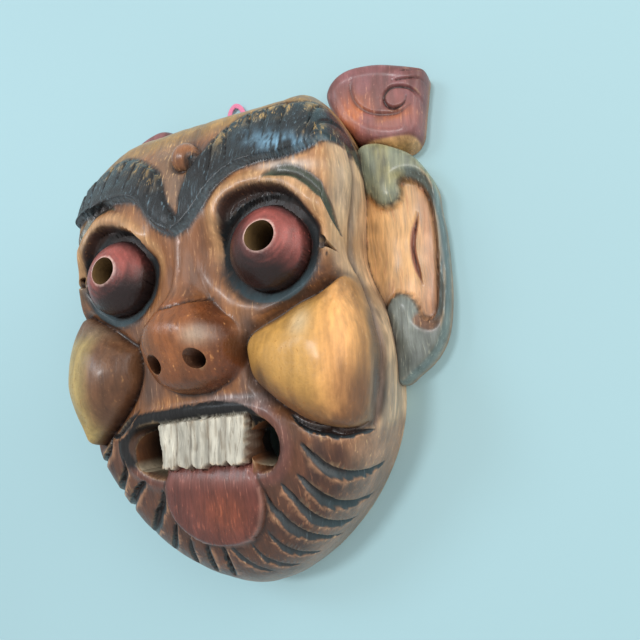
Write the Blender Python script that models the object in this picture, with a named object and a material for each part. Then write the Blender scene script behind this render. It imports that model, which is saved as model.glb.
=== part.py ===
"""Carved wooden demon-face mask with a snub snout, lying on its open back.

The mask is one carved block: a hollowed face with bulging drilled eyes, brow locks, a snout,
round cheeks, an open mouth with teeth and tongue, beard grooves, ears in scrolled frames and
two spiral ornaments. A short hanging cord runs through two small holes in the top of the rim.
Lengths below are millimetres; x is the viewer's right, y the forehead side, z out of the face.
"""

import math

import bmesh
import bpy
import numpy as np
from mathutils import Matrix

MM = 0.001

# Driving dimensions of the block
BLOCK_CENTRE_Y = 8.4        # middle of chin to scroll tops, moved to the origin
UNDERCUT = -2.0             # solids reach this low before the back is cut flat
WELD = 0.03                 # corners closer than this are joined after each cut
RIM_WALL = 8.0
ROOF_WALL = 15.0            # wood between the face and the top of the hollow
FACE_CELLS = 210            # cells across the face before it is thinned
FACE_TRIANGLES = 5000
EAR_CELLS = 36
EAR_TRIANGLES = 620
SCROLL_CELLS = 32
SCROLL_TRIANGLES = 460
HOLLOW_CELLS = 22
CUTTER_BASE = 20.0          # round cutters start inside the hollow
CUTTER_TOP = 90.0           # and end in front of the face

# Outline of the head at the rim, mirrored, and where it is widest, for each side
RIM = [(0, 107.3), (28, 107), (45, 102.5), (55, 92), (59.5, 77), (60, 60), (59, 46), (58.5, 32),
       (61, 20), (65.5, 8), (67.5, -10), (68.5, -27), (67.5, -38), (63.8, -51.5), (58, -64),
       (44, -83.5), (20, -103), (0, -109)]
SHOULDER_RIGHT = [(0, 103), (28, 101.8), (40, 101.5), (49, 101.5), (56, 94.5), (61.5, 80.5),
                  (65.3, 62), (64.5, 46), (63, 31), (65, 16), (72.5, 0), (75.3, -10), (73.7, -24),
                  (70.6, -40), (64.8, -54.5), (57.2, -68), (44, -85), (20, -103.5), (0, -107.4)]
SHOULDER_LEFT = [(-18.5, -103.5), (-44.5, -87), (-59, -69.5), (-66.5, -55.5), (-70.5, -40),
                 (-75.6, -24), (-78.8, -10), (-78, 0), (-72, 16), (-67.5, 31), (-66.3, 46),
                 (-68.6, 63), (-68, 80), (-61.5, 94.5), (-51, 101.5), (-42, 103), (-28, 102.7)]
# How far the rounded shoulder reaches inwards, by angle from the forehead
SHOULDER_WIDTH = [(0, 16), (0.6, 12), (0.85, 9), (1.05, 6.5), (1.2, 6), (1.4, 10), (1.9, 13),
                  (2.4, 19), (math.pi, 24)]
SHOULDER_POWER = 3.0
FRONT_SHARE = 0.74
LEAN_HEIGHT = 46.0

# Height of the face along its middle line, and its fall 60 mm to either side
CROWN = [(-118, 26), (-108, 34), (-98, 40), (-88, 45), (-75, 49.5), (-55, 54), (-30, 57), (0, 60),
         (25, 64), (40, 67), (60, 65), (73, 62), (90, 53.5), (104, 47), (114, 42)]
CROWN_FALL = [(-116, 6), (-75, 5), (-45, 3), (-10, 8), (30, 3.5), (62, 5), (90, 5), (114, 4)]

# Snout
SNOUT_HALF = [(-24.5, 9), (-22.3, 13.5), (-20.7, 16.3), (-17.9, 19.7), (-15, 21.5), (-11.7, 22.2),
              (-8, 22), (-2, 20.5), (1, 19.5), (6, 15.5), (12, 12), (20, 9.5), (34, 8), (46, 8)]
SNOUT_TOP = [(-27, 40), (-25, 54), (-23.2, 65), (-21, 69), (-16, 72), (-10, 75.5), (-4, 78.3),
             (2, 78), (8, 74.5), (14, 71), (22, 69), (32, 68.5), (42, 67.5), (50, 64)]
SNOUT_SHIFT = 1.5
NOSTRILS = [(9.5, -12.0), (-9.2, -13.0)]
NOSTRIL_RADIUS = 2.9
NOSTRIL_FLOOR = 62.0

# Cheeks
CHEEK_RIGHT = [(64, 13.5), (61.2, 15.6), (58, 13), (52.8, 10), (44.7, 7.2), (36.5, 3.3), (29.3, 0.3),
               (23.5, -3), (21.4, -7.9), (22.3, -13.6), (25, -21), (32.1, -27.9), (37.5, -31.9),
               (44.8, -36.3), (52, -38.8), (57.3, -39.8), (63, -39.5), (67, -36), (69.5, -27),
               (70.5, -16.6), (70.5, -7), (68, 3)]
CHEEK_LEFT = [(-62, 14), (-56, 11), (-50, 8), (-43.6, 3.5), (-37.4, -0.5), (-33, -3.5), (-31.5, -9),
              (-32, -16), (-36.6, -24.5), (-45, -33.5), (-54, -41), (-58, -44), (-61.5, -39),
              (-66, -29.5), (-69.5, -20), (-71.5, -8), (-70, 4), (-66, 12)]
CHEEK_EDGE = 50.5
CHEEK_RISE = 18.0
CHEEK_ROUND = (15.0, 25.0)    # run of the rise at the jaw side and at the eye side
CHEEK_BLUR = 5.0

# Eyes
EYE_RIGHT = (35.2, 28.3)
EYE_LEFT = (-39.2, 27.6)
BALL_SPHERE = 18.6
BALL_RADIUS = 16.1
BALL_HEIGHT = 52.4
RING_RADIUS = 20.6
RING_HEIGHT = 58.3
SOCKET_SLOPE = 0.6
LID_RIGHT = [(17.5, 41), (18.2, 46), (21.5, 50), (30, 52.6), (40, 51.3), (47.5, 46.8), (53.5, 38.8),
             (57, 30), (50, 16), (36, 8), (24, 13), (18, 24), (17, 33)]
LID_LEFT = [(-21.5, 37), (-26.5, 42.5), (-34.5, 48), (-40, 50.2), (-46, 51.3), (-52, 49.5), (-56, 43),
            (-57.5, 37), (-57, 30), (-50, 16), (-36, 8), (-24, 13), (-18, 24), (-18, 32)]
LID_SINK = 5.0
LID_ROLL = 1.1
PUPIL_RIGHT = (36.9, 30.4)
PUPIL_LEFT = (-38.9, 29.2)
PUPIL_RADIUS = 5.9

# Brow locks: outlines by the distance from the leaning line between them, and strand cuts
LOCK_RIGHT = [(-3, 43.5), (0, 45.5), (1.5, 49.6), (4.7, 59.9), (7.8, 70), (11.9, 73.5), (14.2, 78),
              (16.1, 81.2), (20.4, 86.4), (27.2, 89.7), (34.8, 90), (41.9, 90.1), (49.9, 88.4),
              (54, 88), (59, 85), (62.3, 78), (63.7, 73), (63.9, 70.2), (61, 68),
              (56.5, 65), (51, 63.2), (43.9, 62.5), (36.2, 62.7), (25.9, 61.5), (20.7, 58.5),
              (16.5, 54.5), (12, 49), (5.8, 43), (1.6, 39.5), (-3, 37.5)]
LOCK_LEFT = [(-3, 43.5), (0.5, 44.5), (3.2, 49.6), (8.7, 62.4), (12.6, 68.9), (23, 76.5),
             (34.9, 83.8), (44, 86), (52, 83), (58, 78), (64, 70), (66.5, 61), (66.5, 54.5), (62, 56.5),
             (57, 59.3), (46.3, 61), (37.3, 61.4), (28.9, 60.1), (21.8, 56.6), (16.9, 50.9),
             (12.1, 44.6), (7, 41), (3.7, 39.5), (-3, 37.5)]
LOCK_LOWER = (LOCK_RIGHT[18:], LOCK_LEFT[13:])
LOCK_UPPER = (LOCK_RIGHT[4:13], LOCK_LEFT[4:9])
LOCK_SHIFT = 1.0
LOCK_LEAN = 3.3               # how far the skin between the locks leans to the left
LOCK_RELIEF = 3.6
LOCK_FADE = (64.0, 70.0)
LOCK_STRANDS = ([((14.2, 78), (15.8, 54)), ((18.3, 84), (23, 62)), ((27.2, 89.7), (31.5, 67.5)),
                 ((34.4, 90), (37, 69.4)), ((43, 90), (43, 68)), ((55.5, 87), (54.5, 67)),
                 ((60, 80.5), (56.5, 67.5))],
                [((13.5, 69.5), (15.8, 53)), ((19.4, 74), (22.5, 60)), ((28, 79.7), (30.5, 65)),
                 ((37, 84.6), (38, 68)), ((46, 85.8), (46, 67)), ((55, 80.5), (54, 64)),
                 ((61, 74), (58, 63))])
BUMP_CENTRE = (-1.3, 73.5)
BUMP_RADIUS = 6.2
BUMP_RELIEF = 4.8

# Mouth, teeth and tongue
MOUTH = [(-39.3, -45.8), (-38.5, -41.4), (-35.6, -38.2), (-30, -36.4), (-22, -35.6), (0, -34.2),
         (19.5, -33.6), (24.5, -34.4), (28.7, -36.4), (31.7, -39.9), (33, -44.1), (32.3, -48.5),
         (29.8, -52), (25, -54.5), (0, -58), (-22, -57.5), (-30.6, -55.2), (-36.4, -51)]
MOUTH_FLOOR = 44.0
LIP_RELIEF = 1.8
TEETH = [(-21.6, -37.4), (-18.6, -54.2), (3.4, -53), (20.4, -52), (21.3, -34.8), (1.6, -35.8)]
TEETH_HEIGHT = 60.0
TOOTH_GAPS = [-10.5, -3.4, 5.0, 12.2]
TONGUE = [(-16, -51), (-19, -56), (-20.4, -62), (-20, -68.5), (-17, -75), (-10.8, -80.6),
          (-2.4, -83.8), (5.4, -84.3), (13.1, -82.6), (18.9, -78.4), (22.3, -72.4),
          (23.8, -65.3), (23.3, -59.5), (21.5, -54.5), (18, -50)]
TONGUE_TOP = [(-90, 48.5), (-84, 51.0), (-76, 54), (-66, 56.5), (-56, 57), (-50, 54)]
TONGUE_CAMBER = 1.6
MOUTH_HOLE_TOP = 54.0
MOUTH_HOLES = [(26.6, -44.6, 5.8, 8.8), (-30.0, -46.8, 6.8, 8.6)]

# Beard grooves from the mouth and tongue outwards: points, width and depth. The points are on the
# face laid out flat, a disc of radius 100 whose edge is the rim.
BEARD = [
    ([(23, -19), (29.5, -27), (37, -33.5), (48.5, -41.5), (55, -43.5), (66, -43.5), (74, -45.5)],
     4.6, 2.2),
    ([(44.5, -47.5), (50.5, -53.5), (57, -57.5), (65.5, -61), (70.5, -63.5)], 5.6, 2.6),
    ([(39.5, -57.5), (45, -62), (51.5, -68), (60, -74.5)], 5.2, 2.6),
    ([(31.5, -58.5), (36.5, -64.5), (43, -71.5), (50, -80)], 5.0, 2.5),
    ([(22.5, -58), (26.5, -66), (32, -70.5), (38.5, -76.5), (42.5, -82.5)], 4.6, 2.4),
    ([(20.5, -70.5), (25, -74.5), (34, -83)], 4.0, 2.2),
    ([(12.5, -72.5), (16.5, -76.5), (25.5, -83)], 3.8, 2.1),
    ([(2.5, -72.5), (9, -77), (15.5, -81.5)], 3.8, 2.1),
    ([(0.5, -72.5), (0, -77), (-1.5, -84)], 3.8, 2.1),
    ([(-6, -72.5), (-7, -77), (-8.5, -83.5)], 3.8, 2.1),
    ([(-13, -72.5), (-14.5, -76), (-16.5, -82.5)], 3.8, 2.1),
    ([(-19, -69), (-20.5, -72.5), (-27, -80)], 4.0, 2.2),
    ([(-21.5, -58), (-26.5, -66.5), (-36.5, -76)], 4.8, 2.4),
    ([(-30, -57), (-37, -60.5), (-51, -71)], 5.0, 2.5),
    ([(-43.5, -50.5), (-47, -58), (-56, -66)], 5.2, 2.5),
    ([(-55, -41), (-57, -49), (-66, -55)], 5.0, 2.4),
    ([(-23, -19), (-29.5, -27), (-37, -33.5), (-48.5, -41.5), (-55, -43)], 4.4, 2.0)]
BEARD_DEPTH = 1.25          # share of the depths above

# Fine cuts around the eyes and over the snout: points, width and depth
TEMPLE_GROOVE = ([(60.4, 67.2), (69.8, 59.3), (79.1, 43.5), (83.3, 30.8), (88.1, 22.2),
                  (87.7, 10.1), (82.9, -8.7), (80.2, -26.9), (73.7, -43.5)], 2.4, 1.3)
LID_CRESCENT = ([(27.5, 42.2), (32.5, 45.2), (39.9, 47.2), (48, 47.1), (57.4, 45.8), (64.5, 44.1),
                 (69.3, 42.5), (72.9, 40.6), (77, 38.3)], 3.4, 1.5)
SNOUT_CREASE = ([(-12.5, 8.3), (-6, 8), (2, 9), (10.5, 12)], 2.0, 1.2)
BAG_CREASES = [([(-50, 9.7), (-43.6, 4.4), (-37.4, 0.3), (-32.9, -2.2), (-29.3, -0.4), (-24, 3),
                 (-20, 8)], 2.0, 1.0)]
NOTCH = [(64.3, 34.2), (65.9, 28.9), (78, 29.8)]
NOTCH_DEPTH = 3.2

# Ears
EAR_MIDDLE = (76.0, 30.0)
EAR_OUTLINE = [(57, 80), (60, 84), (64, 84.8), (69, 83.6), (76, 80), (83, 75), (88, 68), (91.5, 60),
               (92.3, 50), (93.5, 36), (93.2, 14), (91, -2), (87.5, -11), (82.5, -17.2), (76.5, -21.8),
               (70, -26), (64, -21), (60, -5), (57, 20), (56, 50), (56, 70)]
EAR_PANEL = [(54, 60), (62, 59.5), (66, 54.5), (70.5, 52.5), (75, 53.8), (77, 58), (76.5, 63.5),
             (81, 63.5), (86, 59.5), (89.3, 52), (90.3, 38), (90, 25), (88.8, 12), (87.2, 3.5),
             (84.6, 0.5), (81.3, 1.8), (79.3, 8), (76, 12), (71, 12.8), (66.5, 7.5), (64, -2),
             (54, -6)]
EAR_FRAME_HEIGHT = 15.5
EAR_PANEL_HEIGHT = 10.5
EAR_GROOVE = ([(76, 65), (81, 65), (86.6, 60.5), (90.3, 52), (91.5, 38), (91.2, 25), (89.9, 12),
               (88.4, 3), (85, -1.4), (81, 0.5)], 6.0, 2.6)
EAR_SLIT = ([(82.8, 47.5), (80.2, 38), (79.6, 31), (80.7, 23), (82, 17)], 2.2, 1.6)
EAR_SHOULDER = 3.0
PLATE_EDGE_SHARE = 0.053    # share of the grid that each millimetre of rounded edge takes

# Spiral ornaments
SCROLL_MIDDLE = (73.0, 103.0)
SCROLL_OUTLINE = [(43.5, 116.5), (46, 121), (50.5, 124.3), (56.5, 125.8), (63, 125.5), (71, 124),
                  (81, 120.3), (89.5, 116.2), (92.5, 113.5), (91.5, 107), (90.5, 101), (89.5, 96),
                  (88.5, 90), (87, 84.5), (83, 80.5), (76, 80), (66, 83), (58, 88), (51, 96),
                  (47, 104), (44, 112)]
LEFT_SCROLL_SHIFT = 8.0
LEFT_SCROLL_WIDTH = 0.8     # the left ornament is a little shorter than the right
SCROLL_HEIGHT = 13.5
SCROLL_SHOULDER = 4.0
SCROLL_CUTS = [
    ([(91, 91), (89.7, 98.3), (86.2, 103.8), (81.4, 106.8), (76.5, 107.5), (73.2, 104.5),
      (73.9, 100.2), (77.5, 97.3), (82, 98.3), (83.5, 101.5)], 2.4, 1.8),
    ([(59.6, 119.5), (57.7, 112.9), (59.6, 105.2), (64.6, 99.6), (71.1, 96.2), (79.4, 94.7),
      (85, 97)], 2.6, 1.3)]
SCROLL_LINES = [([(77.5, 111), (85.3, 109.6), (93, 108)], 1.2, 0.8),
                ([(81, 114.8), (92.3, 112.6)], 1.2, 0.8)]

# Hanging cord, through two holes in the top of the rim and lying in a flat loop
CORD_RADIUS = 1.1
CORD_HOLE_RADIUS = 1.9
CORD_HOLE_HEIGHT = 6.0
CORD_HOLE_MIDDLE_Y = 104.0   # halfway through the top of the rim
CORD_HOLE_LENGTH = 34.0
CORD_HOLES_X = (-19.0, -7.0)
CORD_ROUTE = [(-19, 88, 3.2), (-19, 95, 6), (-19, 103, 6), (-19, 110, 6), (-18.9, 116, 5.0),
              (-18.6, 121, 2.6), (-18.0, 126.5, 1.5), (-16.5, 131.2, 1.5), (-13.6, 133.2, 1.5),
              (-10.4, 131.2, 1.5), (-8.2, 126.5, 1.5), (-7.3, 121, 2.6), (-7.1, 116, 5.0),
              (-7, 110, 6), (-7, 103, 6), (-7, 95, 6), (-7, 88, 3.2)]
CORD_STEPS = 2

COLLECTION = "carved_demon_mask"

WOOD_COLOUR = (0.30, 0.13, 0.05, 1.0)
CORD_COLOUR = (0.80, 0.26, 0.44, 1.0)


def smoothstep(low, high, value):
    """Ease from 0 at low to 1 at high."""
    t = np.clip((value - low) / (high - low), 0.0, 1.0)
    return t * t * (3.0 - 2.0 * t)


def soft_max(a, b, blend):
    """Larger of two heights, rounded where they cross."""
    h = np.clip(0.5 + 0.5 * (a - b) / blend, 0.0, 1.0)
    return b + (a - b) * h + blend * h * (1.0 - h)


def through(value, knots):
    """Smooth curve through a few (place, size) knots."""
    places, sizes = np.array(knots, float).T
    slopes = np.gradient(sizes, places)
    value = np.clip(value, places[0], places[-1])
    i = np.clip(np.searchsorted(places, value) - 1, 0, len(places) - 2)
    span = places[i + 1] - places[i]
    t = (value - places[i]) / span
    return ((2 * t**3 - 3 * t**2 + 1) * sizes[i] + (t**3 - 2 * t**2 + t) * span * slopes[i]
            + (-2 * t**3 + 3 * t**2) * sizes[i + 1] + (t**3 - t**2) * span * slopes[i + 1])


def smooth_line(points, closed=False, steps=4):
    """Points along a smooth curve through the given ones."""
    p = np.array(points, float)
    if closed:
        q = np.vstack([p[-1], p, p[0], p[1]])
    else:
        q = np.vstack([2 * p[0] - p[1], p, 2 * p[-1] - p[-2]])
    line = []
    for a, b, c, d in zip(q[:-3], q[1:-2], q[2:-1], q[3:]):
        for t in np.arange(steps) / steps:
            line.append(0.5 * (2 * b + (c - a) * t + (2 * a - 5 * b + 4 * c - d) * t**2
                               + (3 * b - a - 3 * c + d) * t**3))
    if not closed:
        line.append(p[-1])
    return np.array(line)


def line_field(x, y, line, reach):
    """Distance to a line, share of its length and side, for the places within reach."""
    low, high = line.min(0) - reach, line.max(0) + reach
    close = (x > low[0]) & (x < high[0]) & (y > low[1]) & (y < high[1])
    px, py = x[close], y[close]
    best = np.full(px.shape, 1e3)
    share = np.zeros(px.shape)
    side = np.ones(px.shape)
    steps = line[1:] - line[:-1]
    lengths = np.hypot(steps[:, 0], steps[:, 1])
    travelled = np.concatenate([[0.0], np.cumsum(lengths)])
    for (ax, ay), (dx, dy), length, start in zip(line[:-1], steps, lengths, travelled):
        t = np.clip(((px - ax) * dx + (py - ay) * dy) / length**2, 0, 1)
        ex, ey = px - ax - t * dx, py - ay - t * dy
        distance = np.hypot(ex, ey)
        nearer = distance < best
        best = np.where(nearer, distance, best)
        share = np.where(nearer, (start + t * length) / travelled[-1], share)
        side = np.where(nearer, np.sign(dx * ey - dy * ex), side)
    fields = [np.full(x.shape, 1e3), np.zeros(x.shape), np.ones(x.shape)]
    for field, found in zip(fields, (best, share, side)):
        field[close] = found
    return fields


def area_field(x, y, outline, reach=10.0):
    """Distance to a closed outline, positive inside and no lower than minus reach."""
    ring = np.vstack([outline, outline[:1]])
    distance = np.minimum(line_field(x, y, ring, reach)[0], reach)
    inside = np.zeros(x.shape, bool)
    for (ax, ay), (bx, by) in zip(ring[:-1], ring[1:]):
        if ay != by:
            inside ^= ((ay > y) != (by > y)) & (x < (bx - ax) * (y - ay) / (by - ay) + ax)
    return np.where(inside, distance, -distance)


def outline_by_angle(points, middle=(0.0, 0.0), mirrored=False):
    """Radius knots of an outline, by angle from +y towards +x."""
    spots = [(math.atan2(x - middle[0], y - middle[1]), math.hypot(x - middle[0], y - middle[1]))
             for x, y in points]
    if mirrored:
        spots = spots[:-1] + [(math.pi, spots[-1][1])] + [(-a, r) for a, r in spots[1:-1]]
    spots.sort()
    before = [(a - 2 * math.pi, r) for a, r in spots[-3:]]
    after = [(a + 2 * math.pi, r) for a, r in spots[:3]]
    return before + spots + after


def crown_height(x, y):
    """The face without its features: a broad, boxy dome."""
    return through(y, CROWN) - through(y, CROWN_FALL) * (np.abs(x) / 60.0) ** 2.2


def snout_side(x, y):
    """Distance from the snout's middle as a share of its half width."""
    return np.abs(x + SNOUT_SHIFT) / through(y, SNOUT_HALF)


def add_snout(x, y, z):
    """Wide snub snout with a sharp lower edge, running up into a narrow bridge."""
    side = snout_side(x, y)
    body = through(y, SNOUT_TOP) - 16.0 * side ** (3.0 - smoothstep(6, 20, y))
    return np.where((y > -27) & (y < 50), soft_max(z, body, 2.0 + 2.5 * smoothstep(8, 20, y)), z)


def blurred(field, x, y, sigma, box):
    """A field of the plan smoothed over a distance, sampled at the given places."""
    low_x, high_x, low_y, high_y = box
    across, up = np.arange(low_x, high_x + 1.0), np.arange(low_y, high_y + 1.0)
    grid = field(*np.meshgrid(across, up))
    steps = np.arange(-math.ceil(3 * sigma), math.ceil(3 * sigma) + 1)
    weights = np.exp(-0.5 * (steps / sigma) ** 2)
    weights /= weights.sum()
    for axis in (0, 1):
        wide = np.pad(grid, [(len(steps) // 2,) * 2 if a == axis else (0, 0) for a in (0, 1)],
                      mode="edge")
        count = grid.shape[axis]
        grid = sum(w * np.take(wide, np.arange(k, k + count), axis)
                   for k, w in enumerate(weights))
    u = np.clip(x - low_x, 0, len(across) - 1.001)
    v = np.clip(y - low_y, 0, len(up) - 1.001)
    i, j = u.astype(int), v.astype(int)
    u, v = u - i, v - j
    return ((grid[j, i] * (1 - u) + grid[j, i + 1] * u) * (1 - v)
            + (grid[j + 1, i] * (1 - u) + grid[j + 1, i + 1] * u) * v)


def cheek_inside(x, y):
    """Distance to the nearer cheek's outline, positive inside."""
    return np.where(x > 0, area_field(x, y, smooth_line(CHEEK_RIGHT, closed=True), 20.0),
                    area_field(x, y, smooth_line(CHEEK_LEFT, closed=True), 20.0))


def add_cheeks(x, y, z):
    """Full, drop-shaped cheeks that point at the outer corners of the eyes."""
    inside = cheek_inside(x, y)
    sunk = z - 3.0 * smoothstep(-4, 1, inside)
    soft = blurred(cheek_inside, x, y, CHEEK_BLUR, (-80, 80, -50, 30))
    depth = inside + (soft - inside) * smoothstep(1.5, 8, inside)
    low, high = CHEEK_ROUND
    rise = np.clip(depth / (low + (high - low) * smoothstep(-22, 10, y)), 0, 1)
    puff = CHEEK_EDGE + CHEEK_RISE * np.sqrt(1 - (1 - rise) ** 2)
    return np.where(inside > 0, soft_max(sunk, puff, 1.5), sunk)


def lock_place(x, y):
    """Distance of a place from the leaning line between the locks, and whether it is to the right."""
    lean = LOCK_LEAN * np.exp(-((x / 14) ** 2)) * smoothstep(45, 57, y)
    across = x + LOCK_SHIFT + lean
    return np.abs(across), across > 0


def lock_inside(x, y, reach=6.0):
    """Distance to the nearer brow lock's outline, positive inside."""
    side, right = lock_place(x, y)
    return np.where(right, area_field(side, y, smooth_line(LOCK_RIGHT, closed=True), reach),
                    area_field(side, y, smooth_line(LOCK_LEFT, closed=True), reach))


def lock_edge(x, y, edges, reach):
    """Distance to one edge of the nearer brow lock."""
    side, right = lock_place(x, y)
    return np.where(right, line_field(side, y, smooth_line(edges[0]), reach)[0],
                    line_field(side, y, smooth_line(edges[1]), reach)[0])


def add_locks(x, y, z):
    """Raised brow locks that meet in a V, a little higher along their lower edge."""
    inside = lock_inside(x, y)
    fade = 1 - smoothstep(*LOCK_FADE, np.abs(x))
    lower = lock_edge(x, y, LOCK_LOWER, 12.0)
    ridge = 0.6 * np.exp(-(((lower - 1.6) / 1.2) ** 2)) * smoothstep(0, 1.2, inside)
    relief = LOCK_RELIEF * (1 - 0.35 * smoothstep(4, 12, lower))
    return z + fade * (relief * smoothstep(-0.35, 1.0, inside) + ridge)


def around_eye(x, y):
    """Distance from the eye's centre, and how far the place lies above it."""
    away_x = x - np.where(x > 0, EYE_RIGHT[0], EYE_LEFT[0])
    away_y = y - np.where(x > 0, EYE_RIGHT[1], EYE_LEFT[1])
    r = np.hypot(away_x, away_y)
    return r, away_y / np.maximum(r, 1e-6)


def lid_inside(x, y):
    """Distance to the opening of the nearer eyelid, positive inside."""
    return np.where(x > 0, area_field(x, y, smooth_line(LID_RIGHT, closed=True)),
                    area_field(x, y, smooth_line(LID_LEFT, closed=True)))


def add_lids(x, y, z):
    """Recess between the upper lid's rolled edge and the ring around the eye."""
    _, up = around_eye(x, y)
    lid = lid_inside(x, y)
    above = smoothstep(-0.4, 0.35, up)
    roll = LID_ROLL * np.exp(-(((lid + 3.0) / 2.6) ** 2)) * above
    return z + roll - LID_SINK * above * smoothstep(-0.6, 1.6, lid)


def add_eyes(x, y, z):
    """A flat ring and a bulging ball for each eye."""
    r, up = around_eye(x, y)
    ring = RING_HEIGHT + 0.8 * smoothstep(-0.2, 1, up)
    slope = ring + 0.5 + SOCKET_SLOPE * (r - RING_RADIUS)
    open_side = smoothstep(34, 28, r) * (1 - smoothstep(0.1, 0.7, up))
    z = z - open_side * np.clip(z - soft_max(-z, -slope, 2.0) * -1, 0, None)
    sunk = np.minimum(z, ring + 6.0 * smoothstep(RING_RADIUS - 1.0, RING_RADIUS + 0.8, r))
    z = np.where(r < RING_RADIUS + 0.8, sunk, z)
    ball = BALL_HEIGHT + np.sqrt(np.clip(BALL_SPHERE**2 - r**2, 0, None))
    return np.where(r < BALL_RADIUS, np.maximum(z, ball), z)


def add_mouth(x, y, z):
    """Open mouth with a block of teeth, and the tongue over the lower lip."""
    mouth = area_field(x, y, smooth_line(MOUTH, closed=True))
    teeth = area_field(x, y, np.array(TEETH, float), 6.0)
    tongue = area_field(x, y, smooth_line(TONGUE, closed=True), 6.0)
    z = z + LIP_RELIEF * smoothstep(-8, -3, mouth) * (1 - 0.4 * smoothstep(-3, -0.5, mouth))
    z = z + (MOUTH_FLOOR - z) * smoothstep(-1.0, 1.6, mouth)
    front = TEETH_HEIGHT - 0.004 * x * x
    for gap in TOOTH_GAPS:
        front = front - 1.1 * np.exp(-((x - gap) / 0.9) ** 2)
    block = MOUTH_FLOOR + (front - MOUTH_FLOOR) * smoothstep(-0.5, 0.9, teeth)
    z = np.where(teeth > -1, np.maximum(z, block), z)
    top = through(y, TONGUE_TOP) - TONGUE_CAMBER * (np.abs(x) / 22.5) ** 2.5
    top = top - 1.2 * (1 - smoothstep(0, 2, tongue))
    return np.where((tongue > 0) & (teeth < 0), np.maximum(z, top), z), mouth, tongue


def groove(x, y, cut, lip=0.28):
    """Depth of a tapered cut, steep on the side nearer the face and easy on the other."""
    points, width, depth = cut
    d, share, side = line_field(x, y, smooth_line(points), width + 2)
    taper = np.sqrt(np.clip(1 - (2 * share - 1) ** 4, 0, 1))
    turn = np.sign(points[0][0] + points[-1][0] + 1e-6)
    half = width * (0.35 + 0.65 * taper) * np.where(side * turn > 0, lip, 0.85)
    return -BEARD_DEPTH * depth * taper * (1 - smoothstep(0, 1, d / half))


def line_cut(x, y, cut):
    """Depth of an even, pointed cut along a line."""
    points, width, depth = cut
    d, share, _ = line_field(x, y, smooth_line(points), width + 2)
    taper = np.clip(np.sin(math.pi * np.clip(share, 0.04, 0.96)) * 2.2, 0, 1)
    return -depth * taper * (1 - smoothstep(0, 1, d / (0.5 * width * taper + 0.2)))


def strand_cuts(x, y):
    """Depth of the wedge cuts between the strands of the brow locks."""
    depth = np.zeros(x.shape)
    across, right = lock_place(x, y)
    for strands, here in zip(LOCK_STRANDS, (right, ~right)):
        for start, end in strands:
            d, share, side = line_field(across, y, np.array([start, end], float), 4.0)
            half = np.where(side > 0, 2.4, 0.5) * (1 - 0.75 * share)
            cut = -1.1 * (1 - smoothstep(0, 1, d / half)) * (1 - 0.6 * share)
            depth = np.where(here, np.minimum(depth, cut), depth)
    return depth


def notch_inside(flat_x, flat_y):
    """Distance into the wedge cut at the outer corner of each eye."""
    return area_field(np.abs(flat_x), flat_y, np.array(NOTCH, float), 2.0)


def face_cuts(x, y, flat_x, flat_y, mouth, tongue):
    """Shallow carving, moved along the surface normal."""
    clear = (1 - smoothstep(-2, 0, tongue)) * (1 - smoothstep(-2.5, -1, mouth))
    move = np.zeros(x.shape)
    for cut in BEARD:
        move = np.minimum(move, groove(flat_x, flat_y, cut) * clear)
    r = np.hypot(x - BUMP_CENTRE[0], y - BUMP_CENTRE[1]) / BUMP_RADIUS
    dome = BUMP_RELIEF * np.sqrt(np.clip(1 - r**2, 0, 1))
    move = move + dome - 0.9 * np.exp(-(((r - 1.1) * 5.5) ** 2))
    move = move + strand_cuts(x, y)
    move = move + line_cut(np.abs(flat_x), flat_y, LID_CRESCENT) + line_cut(x, y, SNOUT_CREASE)
    for cut in BAG_CREASES:
        move = move + line_cut(x, y, cut)
    points, width, depth = TEMPLE_GROOVE
    d = line_field(np.abs(flat_x), flat_y, smooth_line(points), 4 * width)[0]
    move = move - depth * np.exp(-((d / (0.5 * width)) ** 2))
    return move - NOTCH_DEPTH * smoothstep(0, 0.9, notch_inside(flat_x, flat_y))


def ear_height(x, y):
    """Ear frame with rolled ends around a sunken panel with a slit."""
    panel = area_field(x, y, smooth_line(EAR_PANEL, closed=True), 8.0)
    frame = EAR_FRAME_HEIGHT + 1.0 * smoothstep(0, 5, -panel)
    floor = EAR_PANEL_HEIGHT + 0.012 * np.clip(90 - x, 0, None) ** 1.6
    z = frame + (floor - frame) * smoothstep(-0.8, 0.8, panel)
    return z + line_cut(x, y, EAR_GROOVE) + line_cut(x, y, EAR_SLIT)


def scroll_height(x, y):
    """Leaf with a spiral: a convex outer band that curls into a round boss."""
    band = area_field(x, y, smooth_line(SCROLL_OUTLINE, closed=True), 8.0)
    z = SCROLL_HEIGHT + 1.5 * smoothstep(0, 8, band) - 1.2 * smoothstep(6, 12, band)
    for cut in SCROLL_CUTS + SCROLL_LINES:
        z = z + line_cut(x, y, cut)
    return z


def link_to(obj, collection):
    """Put an object in a collection."""
    collection.objects.link(obj)
    return obj


def mask_grid(cells):
    """Square grid rolled onto a disc: the mesh, and each vertex's angle and radius share."""
    bm = bmesh.new()
    bmesh.ops.create_grid(bm, x_segments=cells, y_segments=cells, size=1.0)
    bm.verts.ensure_lookup_table()
    u = np.array([v.co.x for v in bm.verts])
    v = np.array([v.co.y for v in bm.verts])
    share = np.clip(np.maximum(np.abs(u), np.abs(v)), 0, 1)
    safe = np.maximum(share, 1e-9)
    wide = np.abs(u) > np.abs(v)
    turn = np.where(wide, 2 - v / safe * np.sign(u), u / safe * np.sign(v))
    behind = np.where(wide, u < 0, v < 0)
    angle = turn * math.pi / 4 + np.where(behind, math.pi, 0)
    angle = (angle + math.pi) % (2 * math.pi) - math.pi
    return bm, angle, share


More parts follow.
